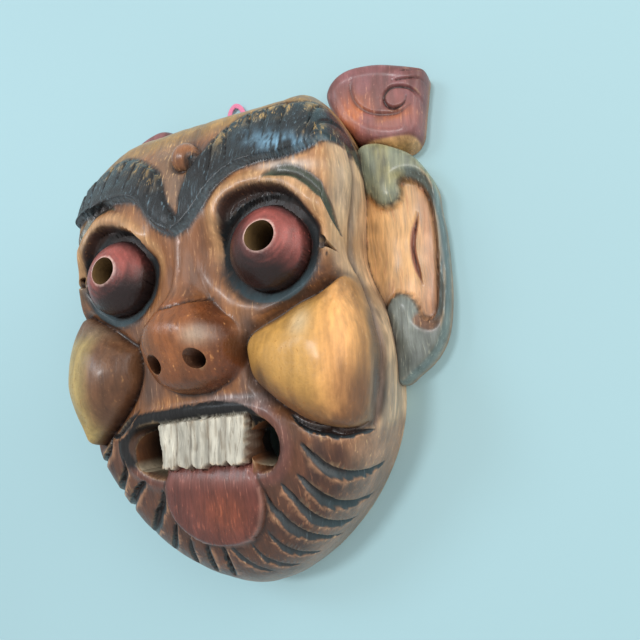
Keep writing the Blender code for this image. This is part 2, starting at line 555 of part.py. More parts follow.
def close_down(bm, places, low_at=UNDERCUT):
    """Place the grid, drop its edge below the back and fill the flat underside."""
    for vert, place in zip(bm.verts, places):
        vert.co = place * MM
    border = [e for e in bm.edges if e.is_boundary]
    skirt = bmesh.ops.extrude_edge_only(bm, edges=border)["geom"]
    low = [g for g in skirt if isinstance(g, bmesh.types.BMVert)]
    for vert in low:
        vert.co.z = low_at * MM
    bmesh.ops.contextual_create(bm, geom=[e for e in bm.edges if e.is_boundary])
    bmesh.ops.recalc_face_normals(bm, faces=bm.faces)


def to_object(bm, name, collection):
    """Finish a bmesh as a named object."""
    mesh = bpy.data.meshes.new(name)
    bm.to_mesh(mesh)
    bm.free()
    return link_to(bpy.data.objects.new(name, mesh), collection)


def bake(obj):
    """Replace an object's mesh by its evaluated one and drop its modifiers."""
    evaluated = obj.evaluated_get(bpy.context.evaluated_depsgraph_get())
    mesh = bpy.data.meshes.new_from_object(evaluated)
    obj.modifiers.clear()
    obj.data = mesh
    return obj


def thin_out(obj, triangles):
    """Collapse edges until the solid has about the given number of triangles."""
    obj.modifiers.new("triangles", "TRIANGULATE")
    bake(obj)
    modifier = obj.modifiers.new("thin", "DECIMATE")
    modifier.ratio = triangles / len(obj.data.polygons)
    return bake(obj)


def face_solid(collection):
    """The carved face as a closed block, not yet hollowed."""
    bm, angle, share = mask_grid(FACE_CELLS)
    shoulder = through(angle, outline_by_angle(SHOULDER_RIGHT + SHOULDER_LEFT))
    rim = through(angle, outline_by_angle(RIM, mirrored=True))
    width = through(np.abs(angle), SHOULDER_WIDTH)
    wall = np.clip((share - FRONT_SHARE) / (1 - FRONT_SHARE), 0, 1) * math.pi / 2
    inset = width * (1 - np.sin(wall) ** (2 / SHOULDER_POWER))
    drop = np.clip(np.cos(wall), 0, 1) ** (2 / SHOULDER_POWER)
    radius = np.where(share > FRONT_SHARE, shoulder - inset, (shoulder - width) * share / FRONT_SHARE)
    x, y = radius * np.sin(angle), radius * np.cos(angle)
    z = add_snout(x, y, crown_height(x, y))
    z = add_eyes(x, y, add_locks(x, y, add_lids(x, y, add_cheeks(x, y, z))))
    z, mouth, tongue = add_mouth(x, y, z)
    z = np.where(share >= 1, 0.0, z * drop)
    lean = (rim - shoulder) * (1 - smoothstep(0, LEAN_HEIGHT, z)) * (radius / shoulder) ** 6
    places = np.stack([(radius + lean) * np.sin(angle), (radius + lean) * np.cos(angle), z], -1)
    for vert, place in zip(bm.verts, places):
        vert.co = place
    bm.normal_update()
    normals = np.array([v.normal[:] for v in bm.verts])
    normals *= np.sign(normals[len(normals) // 2, 2])
    flat_x, flat_y = 100 * share * np.sin(angle), 100 * share * np.cos(angle)
    carve = face_cuts(x, y, flat_x, flat_y, mouth, tongue) * (1 - smoothstep(0.95, 1.0, share))
    places = places + normals * carve[:, None]
    places[:, 1] -= BLOCK_CENTRE_Y
    close_down(bm, places)
    return thin_out(to_object(bm, "face_block", collection), FACE_TRIANGLES)


def hollow_solid(collection):
    """The hollow behind the face, as wide as the rim's inner edge."""
    bm, angle, share = mask_grid(HOLLOW_CELLS)
    rim = through(angle, outline_by_angle(RIM, mirrored=True)) - RIM_WALL
    radius = rim * np.sin(share * math.pi / 2) ** 0.8
    x, y = radius * np.sin(angle), radius * np.cos(angle)
    roof = np.minimum(crown_height(x, y) - ROOF_WALL, MOUTH_FLOOR - 3.0)
    z = roof * np.clip(1 - (radius / rim) ** 5, 0, 1) ** 0.25
    places = np.stack([x, y - BLOCK_CENTRE_Y, z], -1)
    close_down(bm, places, 2 * UNDERCUT)
    return to_object(bm, "hollow", collection)


def relief_plate(name, cells, triangles, middle, outline, height, edge, side, width, shift,
                 collection):
    """Flat-backed carved plate with a rounded edge; a width below 1 narrows it towards the head."""
    bm, angle, share = mask_grid(cells)
    closed = smooth_line(outline, closed=True, steps=3)
    reach = through(angle, outline_by_angle(closed, middle))
    front = 1 - PLATE_EDGE_SHARE * edge
    wall = np.clip((share - front) / (1 - front), 0, 1) * math.pi / 2
    radius = np.where(share > front, reach - edge * (1 - np.sin(wall)), (reach - edge) * share / front)
    x = middle[0] + radius * np.sin(angle)
    y = middle[1] + radius * np.cos(angle)
    z = height(x, y) * np.clip(np.cos(wall), 0, 1) ** 0.6
    outer = max(p[0] for p in outline)
    x = outer - (outer - x) * width - shift
    places = np.stack([x * side, y - BLOCK_CENTRE_Y, z], -1)
    close_down(bm, places)
    return thin_out(to_object(bm, name, collection), triangles)


def round_cutter(name, radius_x, radius_y, base, top, centre, collection, sides):
    """Straight round or oval cutter from base to top height."""
    bm = bmesh.new()
    bmesh.ops.create_cone(bm, cap_ends=True, segments=sides, radius1=1, radius2=1, depth=1)
    for vert in bm.verts:
        high = vert.co.z + 0.5
        vert.co.x = (centre[0] + vert.co.x * radius_x) * MM
        vert.co.y = (centre[1] - BLOCK_CENTRE_Y + vert.co.y * radius_y) * MM
        vert.co.z = (base + (top - base) * high) * MM
    return to_object(bm, name, collection)


def cord_hole(name, x, collection):
    """Drilled hole along y through the top of the rim."""
    bm = bmesh.new()
    turn = Matrix.Rotation(math.pi / 2, 4, "X")
    bmesh.ops.create_cone(bm, cap_ends=True, segments=10, radius1=CORD_HOLE_RADIUS * MM,
                          radius2=CORD_HOLE_RADIUS * MM, depth=CORD_HOLE_LENGTH * MM,
                          matrix=turn)
    shift = Matrix.Translation((x * MM, (CORD_HOLE_MIDDLE_Y - BLOCK_CENTRE_Y) * MM,
                                CORD_HOLE_HEIGHT * MM))
    bmesh.ops.transform(bm, matrix=shift, verts=bm.verts)
    return to_object(bm, name, collection)


def floor_cutter(collection):
    """Everything below the back plane."""
    bm = bmesh.new()
    bmesh.ops.create_cube(bm, size=1.0)
    for vert in bm.verts:
        vert.co.x *= 300 * MM
        vert.co.y *= 300 * MM
        vert.co.z = (vert.co.z - 0.5) * 20 * MM
    return to_object(bm, "back_plane", collection)


def combine(target, other, operation):
    """Exact Boolean of the mask with one more solid."""
    modifier = target.modifiers.new(other.name, "BOOLEAN")
    modifier.operation = operation
    modifier.solver = "EXACT"
    modifier.object = other
    bake(target)
    bm = bmesh.new()
    bm.from_mesh(target.data)
    bmesh.ops.remove_doubles(bm, verts=bm.verts, dist=WELD * MM)
    bmesh.ops.dissolve_degenerate(bm, edges=bm.edges, dist=WELD * MM)
    bmesh.ops.triangulate(bm, faces=bm.faces)
    bm.to_mesh(target.data)
    bm.free()
    return target


def principled(name, colour, roughness):
    """Plain painted material."""
    material = bpy.data.materials.new(name)
    material.use_nodes = True
    shader = material.node_tree.nodes["Principled BSDF"]
    shader.inputs["Base Color"].default_value = colour
    shader.inputs["Roughness"].default_value = roughness
    shader.inputs["Metallic"].default_value = 0.0
    return material


def build_mask(parts, cutters):
    """The whole carved block with its hollow and holes."""
    mask = face_solid(parts)
    for side, word in ((1, "right"), (-1, "left")):
        ear = relief_plate("ear_" + word, EAR_CELLS, EAR_TRIANGLES, EAR_MIDDLE, EAR_OUTLINE,
                           ear_height, EAR_SHOULDER, side, 1.0, 0.0, cutters)
        width, shift = (1.0, 0.0) if side > 0 else (LEFT_SCROLL_WIDTH, LEFT_SCROLL_SHIFT)
        scroll = relief_plate("scroll_" + word, SCROLL_CELLS, SCROLL_TRIANGLES, SCROLL_MIDDLE,
                              SCROLL_OUTLINE, scroll_height, SCROLL_SHOULDER, side, width, shift,
                              cutters)
        combine(mask, ear, "UNION")
        combine(mask, scroll, "UNION")
    combine(mask, hollow_solid(cutters), "DIFFERENCE")
    for centre in (PUPIL_RIGHT, PUPIL_LEFT):
        combine(mask, round_cutter("pupil", PUPIL_RADIUS, PUPIL_RADIUS, CUTTER_BASE, CUTTER_TOP,
                                   centre, cutters, 20), "DIFFERENCE")
    for x, y, wide, tall in MOUTH_HOLES:
        combine(mask, round_cutter("mouth_hole", wide, tall, CUTTER_BASE, MOUTH_HOLE_TOP, (x, y),
                                   cutters, 18), "DIFFERENCE")
    for x, y in NOSTRILS:
        combine(mask, round_cutter("nostril", NOSTRIL_RADIUS, NOSTRIL_RADIUS, NOSTRIL_FLOOR,
                                   CUTTER_TOP, (x, y), cutters, 10), "DIFFERENCE")
    for x in CORD_HOLES_X:
        combine(mask, cord_hole("cord_hole", x, cutters), "DIFFERENCE")
    combine(mask, floor_cutter(cutters), "DIFFERENCE")
    mask.name = "carved_mask"
    mask.data.name = "carved_mask"
    return mask


def build_cord(parts):
    """Pink hanging cord, one tube along its real route from inner end to inner end."""
    route = smooth_line(CORD_ROUTE, steps=CORD_STEPS)
    curve = bpy.data.curves.new("hanging_cord", "CURVE")
    curve.dimensions = "3D"
    curve.bevel_depth = CORD_RADIUS * MM
    curve.bevel_resolution = 2
    curve.use_fill_caps = True
    spline = curve.splines.new("POLY")
    spline.points.add(len(route) - 1)
    for point, (x, y, z) in zip(spline.points, route):
        point.co = (x * MM, (y - BLOCK_CENTRE_Y) * MM, z * MM, 1.0)
    return link_to(bpy.data.objects.new("hanging_cord", curve), parts)


def main():
    for obj in list(bpy.data.objects):
        bpy.data.objects.remove(obj, do_unlink=True)
    parts = bpy.data.collections.new(COLLECTION)
    cutters = bpy.data.collections.new("cutters")
    for collection in (parts, cutters):
        bpy.context.scene.collection.children.link(collection)
    mask = build_mask(parts, cutters)
    mask.data.materials.clear()
    mask.data.materials.append(principled("painted_wood", WOOD_COLOUR, 0.38))
    mask.data.shade_smooth()
    mask.data.set_sharp_from_angle(angle=math.radians(50))
    cord = build_cord(parts)
    cord.data.materials.append(principled("pink_cord", CORD_COLOUR, 0.6))
    for cutter in cutters.objects:
        cutter.hide_render = True
        cutter.display_type = "WIRE"


if __name__ == "__main__":
    main()
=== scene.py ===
"""Carved wooden demon-face mask: carving, paint, worn varnish and its pink hanging loop.

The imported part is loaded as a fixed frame. The face is a height map rolled onto a disc, carved
with grooves along its normals, joined with ears and spiral ornaments, hollowed and drilled. Its
paint is worked out at every vertex from the same outlines and kept as attributes.
Tables are in millimetres: x is the viewer's right, y the forehead side, z out of the face.
"""

import math

import bmesh
import bpy
import numpy as np
from mathutils import Matrix, Vector


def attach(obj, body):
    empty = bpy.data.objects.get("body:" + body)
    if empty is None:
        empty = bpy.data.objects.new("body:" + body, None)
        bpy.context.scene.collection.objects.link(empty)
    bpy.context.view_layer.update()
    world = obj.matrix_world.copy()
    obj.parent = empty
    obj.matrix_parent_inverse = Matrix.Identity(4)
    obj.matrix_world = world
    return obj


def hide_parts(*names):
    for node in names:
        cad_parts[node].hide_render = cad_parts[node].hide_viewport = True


bl_info = {
    "name": "Carved demon mask",
    "version": (1, 0, 0),
    "blender": (4, 5, 0),
    "location": "View3D > Sidebar > Mask",
    "description": "Builds a carved and painted wooden mask with its hanging loop and stage",
    "category": "Object",
}

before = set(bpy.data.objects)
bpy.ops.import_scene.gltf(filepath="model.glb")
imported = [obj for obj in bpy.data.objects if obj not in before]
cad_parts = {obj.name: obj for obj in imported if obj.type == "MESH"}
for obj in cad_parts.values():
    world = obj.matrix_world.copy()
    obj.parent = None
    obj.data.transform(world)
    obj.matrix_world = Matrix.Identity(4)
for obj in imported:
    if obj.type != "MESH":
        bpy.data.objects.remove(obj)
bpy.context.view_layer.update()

MM = 0.001

# The block
BLOCK_CENTRE_Y = 8.4
UNDERCUT = -2.0
WELD = 0.012
RIM_WALL = 8.0
ROOF_WALL = 15.0
HOLLOW_CELLS = 70
CUTTER_BASE = 20.0
CUTTER_TOP = 90.0

# Outline of the head at the rim, mirrored, and where it is widest, for each side
RIM = [(0, 107.3), (28, 107), (45, 102.5), (55, 92), (59.5, 77), (60, 60), (59, 46), (58.5, 32),
       (61, 20), (65.5, 8), (67.5, -10), (68.5, -27), (67.5, -38), (63.8, -51.5), (58, -64),
       (44, -83.5), (20, -103), (0, -109)]
SHOULDER_RIGHT = [(0, 103), (28, 101.8), (40, 101.5), (49, 101.5), (56, 94.5), (61.5, 80.5),
                  (65.3, 62), (64.5, 46), (63, 31), (65, 16), (72.5, 0), (75.3, -10), (73.7, -24),
                  (70.6, -40), (64.8, -54.5), (57.2, -68), (44, -85), (20, -103.5), (0, -107.4)]
SHOULDER_LEFT = [(-18.5, -103.5), (-44.5, -87), (-59, -69.5), (-66.5, -55.5), (-70.5, -40),
                 (-75.6, -24), (-78.8, -10), (-78, 0), (-72, 16), (-67.5, 31), (-66.3, 46),
                 (-68.6, 63), (-68, 80), (-61.5, 94.5), (-51, 101.5), (-42, 103), (-28, 102.7)]
SHOULDER_WIDTH = [(0, 16), (0.6, 12), (0.85, 9), (1.05, 6.5), (1.2, 6), (1.4, 10), (1.9, 13),
                  (2.4, 19), (math.pi, 24)]
SHOULDER_POWER = 3.0
FRONT_SHARE = 0.74
FRONT_CELLS = 0.55          # share of the grid's rings spent on the front
LEAN_HEIGHT = 46.0

# Height of the face along its middle line, and its fall 60 mm to either side
CROWN = [(-118, 26), (-108, 34), (-98, 40), (-88, 45), (-75, 49.5), (-55, 54), (-30, 57), (0, 60),
         (25, 64), (40, 67), (60, 65), (73, 62), (90, 53.5), (104, 47), (114, 42)]
CROWN_FALL = [(-116, 6), (-75, 5), (-45, 3), (-10, 8), (30, 3.5), (62, 5), (90, 5), (114, 4)]

# Snout
SNOUT_HALF = [(-24.5, 9), (-22.3, 13.5), (-20.7, 16.3), (-17.9, 19.7), (-15, 21.5), (-11.7, 22.2),
              (-8, 22), (-2, 20.5), (1, 19.5), (6, 15.5), (12, 12), (20, 9.5), (34, 8), (46, 8)]
SNOUT_TOP = [(-27, 40), (-25, 54), (-23.2, 65), (-21, 69), (-16, 72), (-10, 75.5), (-4, 78.3),
             (2, 78), (8, 74.5), (14, 71), (22, 69), (32, 68.5), (42, 67.5), (50, 64)]
SNOUT_SHIFT = 1.0
NOSTRILS = [(9.5, -12.0), (-9.2, -13.0)]
NOSTRIL_RADIUS = 2.3
NOSTRIL_SPREAD = 1.9          # radius at the cutter's top over that at the nostril's floor
NOSTRIL_FLOOR = 62.0
NOSTRIL_TOP = 78.0

# Cheeks
CHEEK_RIGHT = [(64, 13.5), (61.2, 15.6), (58, 13), (52.8, 10), (44.7, 7.2), (36.5, 3.3), (29.3, 0.3),
               (23.5, -3), (21.4, -7.9), (22.3, -13.6), (25, -21), (32.1, -27.9), (37.5, -31.9),
               (44.8, -36.3), (52, -38.8), (57.3, -39.8), (63, -39.5), (67, -36), (69.5, -27),
               (70.5, -16.6), (70.5, -7), (68, 3)]
CHEEK_LEFT = [(-62, 14), (-56, 11), (-50, 8), (-43.6, 3.5), (-37.4, -0.5), (-33, -3.5), (-31.5, -9),
              (-32, -16), (-36.6, -24.5), (-45, -33.5), (-54, -41), (-58, -44), (-61.5, -39),
              (-66, -29.5), (-69.5, -20), (-71.5, -8), (-70, 4), (-66, 12)]
CHEEK_EDGE = 50.5
CHEEK_RISE = 18.0
CHEEK_ROUND = (15.0, 25.0)    # run of the rise at the jaw side and at the eye side
CHEEK_BLUR = 5.0

# Eyes
EYE_RIGHT = (35.2, 28.3)
EYE_LEFT = (-39.2, 27.6)
BALL_SPHERE = 18.6
BALL_RADIUS = 16.1
BALL_HEIGHT = 52.4
RING_RADIUS = 20.6
RING_HEIGHT = 58.3
SOCKET_SLOPE = 0.6
LID_RIGHT = [(17.5, 41), (18.2, 46), (21.5, 50), (30, 52.6), (40, 51.3), (47.5, 46.8), (53.5, 38.8),
             (57, 30), (50, 16), (36, 8), (24, 13), (18, 24), (17, 33)]
LID_LEFT = [(-21.5, 37), (-26.5, 42.5), (-34.5, 48), (-40, 50.2), (-46, 51.3), (-52, 49.5), (-56, 43),
            (-57.5, 37), (-57, 30), (-50, 16), (-36, 8), (-24, 13), (-18, 24), (-18, 32)]
LID_SINK = 5.0
LID_ROLL = 1.1
PUPIL_RIGHT = (36.9, 30.4)
PUPIL_LEFT = (-38.9, 29.2)
PUPIL_RADIUS = 5.9

# Brow locks: their outlines, lower and upper edges, and the cuts between strands
LOCK_RIGHT = [(-3, 43.5), (0, 45.5), (1.5, 49.6), (4.7, 59.9), (7.8, 70), (11.9, 73.5), (14.2, 78),
              (16.1, 81.2), (20.4, 86.4), (27.2, 89.7), (34.8, 90), (41.9, 90.1), (49.9, 88.4),
              (54, 88), (59, 85), (62.3, 78), (63.7, 73), (63.9, 70.2), (61, 68),
              (56.5, 65), (51, 63.2), (43.9, 62.5), (36.2, 62.7), (25.9, 61.5), (20.7, 58.5),
              (16.5, 54.5), (12, 49), (5.8, 43), (1.6, 39.5), (-3, 37.5)]
LOCK_LEFT = [(-3, 43.5), (0.5, 44.5), (3.2, 49.6), (8.7, 62.4), (12.6, 68.9), (23, 76.5),
             (34.9, 83.8), (44, 86), (52, 83), (58, 78), (64, 70), (66.5, 61), (66.5, 54.5), (62, 56.5),
             (57, 59.3), (46.3, 61), (37.3, 61.4), (28.9, 60.1), (21.8, 56.6), (16.9, 50.9),
             (12.1, 44.6), (7, 41), (3.7, 39.5), (-3, 37.5)]
LOCK_LOWER = (LOCK_RIGHT[18:], LOCK_LEFT[13:])
LOCK_UPPER = (LOCK_RIGHT[4:13], LOCK_LEFT[4:9])
LOCK_SHIFT = 1.0
LOCK_LEAN = 3.3               # how far the skin between the locks leans to the left
LOCK_RELIEF = 2.7
LOCK_FADE = (64.0, 70.0)
LOCK_STRANDS = ([((14.2, 78), (15.8, 54)), ((18.3, 84), (23, 62)), ((27.2, 89.7), (31.5, 67.5)),
                 ((34.4, 90), (37, 69.4)), ((43, 90), (43, 68)), ((55.5, 87), (54.5, 67)),
                 ((60, 80.5), (56.5, 67.5))],
                [((13.5, 69.5), (15.8, 53)), ((19.4, 74), (22.5, 60)), ((28, 79.7), (30.5, 65)),
                 ((37, 84.6), (38, 68)), ((46, 85.8), (46, 67)), ((55, 80.5), (54, 64)),
                 ((61, 74), (58, 63))])
BUMP_CENTRE = (-1.3, 73.5)
BUMP_RADIUS = 6.2
BUMP_RELIEF = 4.8

# Mouth, teeth and tongue
MOUTH = [(-39.3, -45.8), (-38.5, -41.4), (-35.6, -38.2), (-30, -36.4), (-22, -35.6), (0, -34.2),
         (19.5, -33.6), (24.5, -34.4), (28.7, -36.4), (31.7, -39.9), (33, -44.1), (32.3, -48.5),
         (29.8, -52), (25, -54.5), (0, -58), (-22, -57.5), (-30.6, -55.2), (-36.4, -51)]
MOUTH_FLOOR = 44.0
LIP_RELIEF = 1.8
TEETH = [(-21.6, -35.2), (-18.6, -54.2), (3.4, -53), (20.4, -52), (21.3, -32.6), (1.6, -33.4)]
TEETH_HEIGHT = 60.0
TOOTH_GAPS = [-10.5, -3.4, 5.0, 12.2]
TONGUE = [(-16, -51), (-19, -56), (-20.4, -62), (-20, -68.5), (-17, -75), (-10.8, -80.6),
          (-2.4, -83.8), (5.4, -84.3), (13.1, -82.6), (18.9, -78.4), (22.3, -72.4),
          (23.8, -65.3), (23.3, -59.5), (21.5, -54.5), (18, -50)]
TONGUE_TOP = [(-90, 48.5), (-84, 51.0), (-76, 54), (-66, 56.5), (-56, 57), (-50, 54)]
TONGUE_CAMBER = 1.6
CAVITY_SLOPE = [(-42, 57), (-38.5, 55), (-35, 51), (-31.5, 46), (-27, 44), (19, 58), (22, 56),
                (25, 50), (28, 45), (34, 44)]
MOUTH_HOLE_TOP = 58.0
MOUTH_HOLES = [(26.6, -44.6, 5.8, 8.8), (-30.0, -46.8, 6.8, 8.6)]

# Beard grooves from the mouth and tongue outwards: points, width and depth. The points are on the
# face laid out flat, a disc of radius 100 whose edge is the rim.
BEARD = [
    ([(41.5, -37), (47.6, -41.4), (54.7, -43.8), (61, -44.2), (67, -44.2), (73.7, -45.6)], 3.8, 2.0),
    ([(44.5, -47.5), (50.5, -53.5), (57, -57.5), (65.5, -61), (72, -63)], 4.8, 2.4),
    ([(39.5, -57.5), (45, -62), (51.5, -68), (61, -75)], 4.6, 2.4),
    ([(31.5, -58.5), (36.5, -64.5), (43, -71.5), (51, -80)], 3.8, 2.2),
    ([(22.5, -58), (26.5, -66), (32, -70.5), (38.5, -76.5), (43.5, -83)], 3.4, 2.0),
    ([(20.5, -70.5), (25, -74.5), (34, -83)], 2.4, 1.4),
    ([(12.5, -72.5), (16.5, -76.5), (25.5, -83)], 2.2, 1.3),
    ([(2.5, -72.5), (9, -77), (15.5, -81.5)], 2.2, 1.3),
    ([(0.5, -72.5), (0, -77), (-1.5, -84)], 3.0, 1.6),
    ([(-6, -72.5), (-7, -77), (-8.5, -83.5)], 3.0, 1.6),
    ([(-13, -72.5), (-14.5, -76), (-16.5, -82.5)], 3.0, 1.6),
    ([(-19, -69), (-20.5, -72.5), (-27, -80)], 3.2, 1.8),
    ([(-21.5, -58), (-26.5, -66.5), (-36.5, -76)], 4.4, 2.2),
    ([(-30, -57), (-37, -60.5), (-51, -71)], 4.6, 2.3),
    ([(-43.5, -50.5), (-47, -58), (-56, -66)], 4.6, 2.3),
    ([(-55, -41), (-57, -49), (-66, -55)], 4.4, 2.2),
    ([(-34.5, -31), (-40.5, -36.5), (-48.5, -41.5), (-55, -43)], 3.6, 1.8)]
BEARD_DEPTH = 1.05
BEARD_LIP = 0.2             # share of the width taken by the steep side
BEARD_SLOPE = 0.8
TEMPLE_GROOVE = ([(60.4, 67.2), (69.8, 59.3), (79.1, 43.5), (83.3, 30.8), (88.1, 22.2),
                  (87.7, 10.1), (82.9, -8.7), (80.2, -26.9), (73.7, -43.5)], 2.4, 1.3)

# Fine cuts around the eyes and over the snout: points, width and depth
LID_CRESCENT = ([(27.5, 42.2), (32.5, 45.2), (39.9, 47.2), (48, 47.1), (57.4, 45.8), (64.5, 44.1),
                 (69.3, 42.5), (72.9, 40.6), (77, 38.3)], 3.4, 1.5)
SNOUT_CREASE = ([(-13.5, 8.2), (-6, 8), (2, 9), (10.5, 12)], 1.2, 0.9)
BAG_CREASES = [([(-50, 9.7), (-43.6, 4.4), (-37.4, 0.3), (-32.9, -2.2), (-29.3, -0.4), (-24, 3),
                 (-20, 8)], 2.0, 1.0)]
NOTCH = [(64.3, 34.2), (65.9, 28.9), (78, 29.8)]
NOTCH_DEPTH = 3.2
NAIL_HOLE = (70.4, 27)

# Ears
EAR_MIDDLE = (76.0, 30.0)
EAR_OUTLINE = [(57, 80), (60, 84), (64, 84.8), (69, 83.6), (76, 80), (83, 75), (88, 68), (91.5, 60),
               (92.3, 50), (93.5, 36), (93.2, 14), (91, -2), (87.5, -11), (82.5, -17.2), (76.5, -21.8),
               (70, -26), (64, -21), (60, -5), (57, 20), (56, 50), (56, 70)]
EAR_PANEL = [(54, 60), (62, 59.5), (66, 54.5), (70.5, 52.5), (75, 53.8), (77, 58), (76.5, 63.5),
             (81, 63.5), (86, 59.5), (89.3, 52), (90.3, 38), (90, 25), (88.8, 12), (87.2, 3.5),
             (84.6, 0.5), (81.3, 1.8), (79.3, 8), (76, 12), (71, 12.8), (66.5, 7.5), (64, -2),
             (54, -6)]
EAR_FRAME_HEIGHT = 15.5
EAR_PANEL_HEIGHT = 10.5
EAR_GROOVE = ([(76, 65), (81, 65), (86.6, 60.5), (90.3, 52), (91.5, 38), (91.2, 25), (89.9, 12),
               (88.4, 3), (85, -1.4), (81, 0.5)], 6.0, 2.6)
EAR_SLIT = ([(82.8, 47.5), (80.2, 38), (79.6, 31), (80.7, 23), (82, 17)], 2.2, 1.6)
EAR_SHOULDER = 3.0
PLATE_EDGE_SHARE = 0.053

# Spiral ornaments
SCROLL_MIDDLE = (73.0, 103.0)
SCROLL_OUTLINE = [(43.5, 116.5), (46, 121), (50.5, 124.3), (56.5, 125.8), (63, 125.5), (71, 124),
                  (81, 120.3), (89.5, 116.2), (92.5, 113.5), (91.5, 107), (90.5, 101), (89.5, 96),
                  (88.5, 90), (87, 84.5), (83, 80.5), (76, 80), (66, 83), (58, 88), (51, 96),
                  (47, 104), (44, 112)]
LEFT_SCROLL_SHIFT = 8.0
LEFT_SCROLL_WIDTH = 0.8
SCROLL_HEIGHT = 13.5
SCROLL_SHOULDER = 4.0
SCROLL_CUTS = [
    ([(91, 91), (89.7, 98.3), (86.2, 103.8), (81.4, 106.8), (76.5, 107.5), (73.2, 104.5),
      (73.9, 100.2), (77.5, 97.3), (82, 98.3), (83.5, 101.5)], 2.2, 1.4),
    ([(59.6, 119.5), (57.7, 112.9), (59.6, 105.2), (64.6, 99.6), (71.1, 96.2), (79.4, 94.7),
      (85, 97)], 3.0, 0.9)]
SCROLL_LINES = [([(77.5, 111), (85.3, 109.6), (93, 108)], 1.2, 0.8),
                ([(81, 114.8), (92.3, 112.6)], 1.2, 0.8)]

# Hanging loop
CORD_HOLE_RADIUS = 1.9
CORD_HOLE_HEIGHT = 6.0
CORD_HOLE_MIDDLE_Y = 104.0
CORD_HOLE_LENGTH = 34.0
CORD_HOLES_X = (-19.0, -7.0)
CORD_ROUTE = [(-19, 88, 3.2), (-19, 95, 6), (-19, 103, 6), (-19, 110, 6), (-18.9, 116, 5.0),
              (-18.6, 121, 2.6), (-18.0, 126.5, 1.5), (-16.5, 131.2, 1.5), (-13.6, 133.2, 1.5),
              (-10.4, 131.2, 1.5), (-8.2, 126.5, 1.5), (-7.3, 121, 2.6), (-7.1, 116, 5.0),
              (-7, 110, 6), (-7, 103, 6), (-7, 95, 6), (-7, 88, 3.2)]

# Which solid a face came from
FACE, EAR, SCROLL, HOLLOW, PUPIL, SIDE_HOLE, NOSTRIL, CORD_HOLE, BACK = range(9)

# Camera: rows of its matrix in metres, and its lens for a 36 mm sensor
CAMERA_ROWS = ((0.912561, 0.115701, 0.392232, 0.124322),
               (-0.061158, 0.986967, -0.148847, -0.036364),
               (-0.404341, 0.111843, 0.907744, 0.221148))
CAMERA_LENS = 28.1509


def smoothstep(low, high, value):
    """Ease from 0 at low to 1 at high."""
    t = np.clip((value - low) / (high - low), 0.0, 1.0)
    return t * t * (3.0 - 2.0 * t)


def soft_max(a, b, blend):
    """Larger of two heights, rounded where they cross."""
    h = np.clip(0.5 + 0.5 * (a - b) / blend, 0.0, 1.0)
    return b + (a - b) * h + blend * h * (1.0 - h)


def through(value, knots):
    """Smooth curve through a few (place, size) knots."""
    places, sizes = np.array(knots, float).T
    slopes = np.gradient(sizes, places)
    value = np.clip(value, places[0], places[-1])
    i = np.clip(np.searchsorted(places, value) - 1, 0, len(places) - 2)
    span = places[i + 1] - places[i]
    t = (value - places[i]) / span
    return ((2 * t**3 - 3 * t**2 + 1) * sizes[i] + (t**3 - 2 * t**2 + t) * span * slopes[i]
            + (-2 * t**3 + 3 * t**2) * sizes[i + 1] + (t**3 - t**2) * span * slopes[i + 1])


def smooth_line(points, closed=False, steps=4):
    """Points along a smooth curve through the given ones."""
    p = np.array(points, float)
    if closed:
        q = np.vstack([p[-1], p, p[0], p[1]])
    else:
        q = np.vstack([2 * p[0] - p[1], p, 2 * p[-1] - p[-2]])
    line = []
    for a, b, c, d in zip(q[:-3], q[1:-2], q[2:-1], q[3:]):
        for t in np.arange(steps) / steps:
            line.append(0.5 * (2 * b + (c - a) * t + (2 * a - 5 * b + 4 * c - d) * t**2
                               + (3 * b - a - 3 * c + d) * t**3))
    if not closed:
        line.append(p[-1])
    return np.array(line)


def line_field(x, y, line, reach):
    """Distance to a line, share of its length and side, for the places within reach."""
    low, high = line.min(0) - reach, line.max(0) + reach
    close = (x > low[0]) & (x < high[0]) & (y > low[1]) & (y < high[1])
    px, py = x[close], y[close]
    best = np.full(px.shape, 1e3)
    share = np.zeros(px.shape)
    side = np.ones(px.shape)
    steps = line[1:] - line[:-1]
    lengths = np.hypot(steps[:, 0], steps[:, 1])
    travelled = np.concatenate([[0.0], np.cumsum(lengths)])
    for (ax, ay), (dx, dy), length, start in zip(line[:-1], steps, lengths, travelled):
        t = np.clip(((px - ax) * dx + (py - ay) * dy) / length**2, 0, 1)
        ex, ey = px - ax - t * dx, py - ay - t * dy
        distance = np.hypot(ex, ey)
        nearer = distance < best
        best = np.where(nearer, distance, best)
        share = np.where(nearer, (start + t * length) / travelled[-1], share)
        side = np.where(nearer, np.sign(dx * ey - dy * ex), side)
    fields = [np.full(x.shape, 1e3), np.zeros(x.shape), np.ones(x.shape)]
    for field, found in zip(fields, (best, share, side)):
        field[close] = found
    return fields


def area_field(x, y, outline, reach=10.0):
    """Distance to a closed outline, positive inside and no lower than minus reach."""
    ring = np.vstack([outline, outline[:1]])
    distance = np.minimum(line_field(x, y, ring, reach)[0], reach)
    inside = np.zeros(x.shape, bool)
    for (ax, ay), (bx, by) in zip(ring[:-1], ring[1:]):
        if ay != by:
            inside ^= ((ay > y) != (by > y)) & (x < (bx - ax) * (y - ay) / (by - ay) + ax)
    return np.where(inside, distance, -distance)


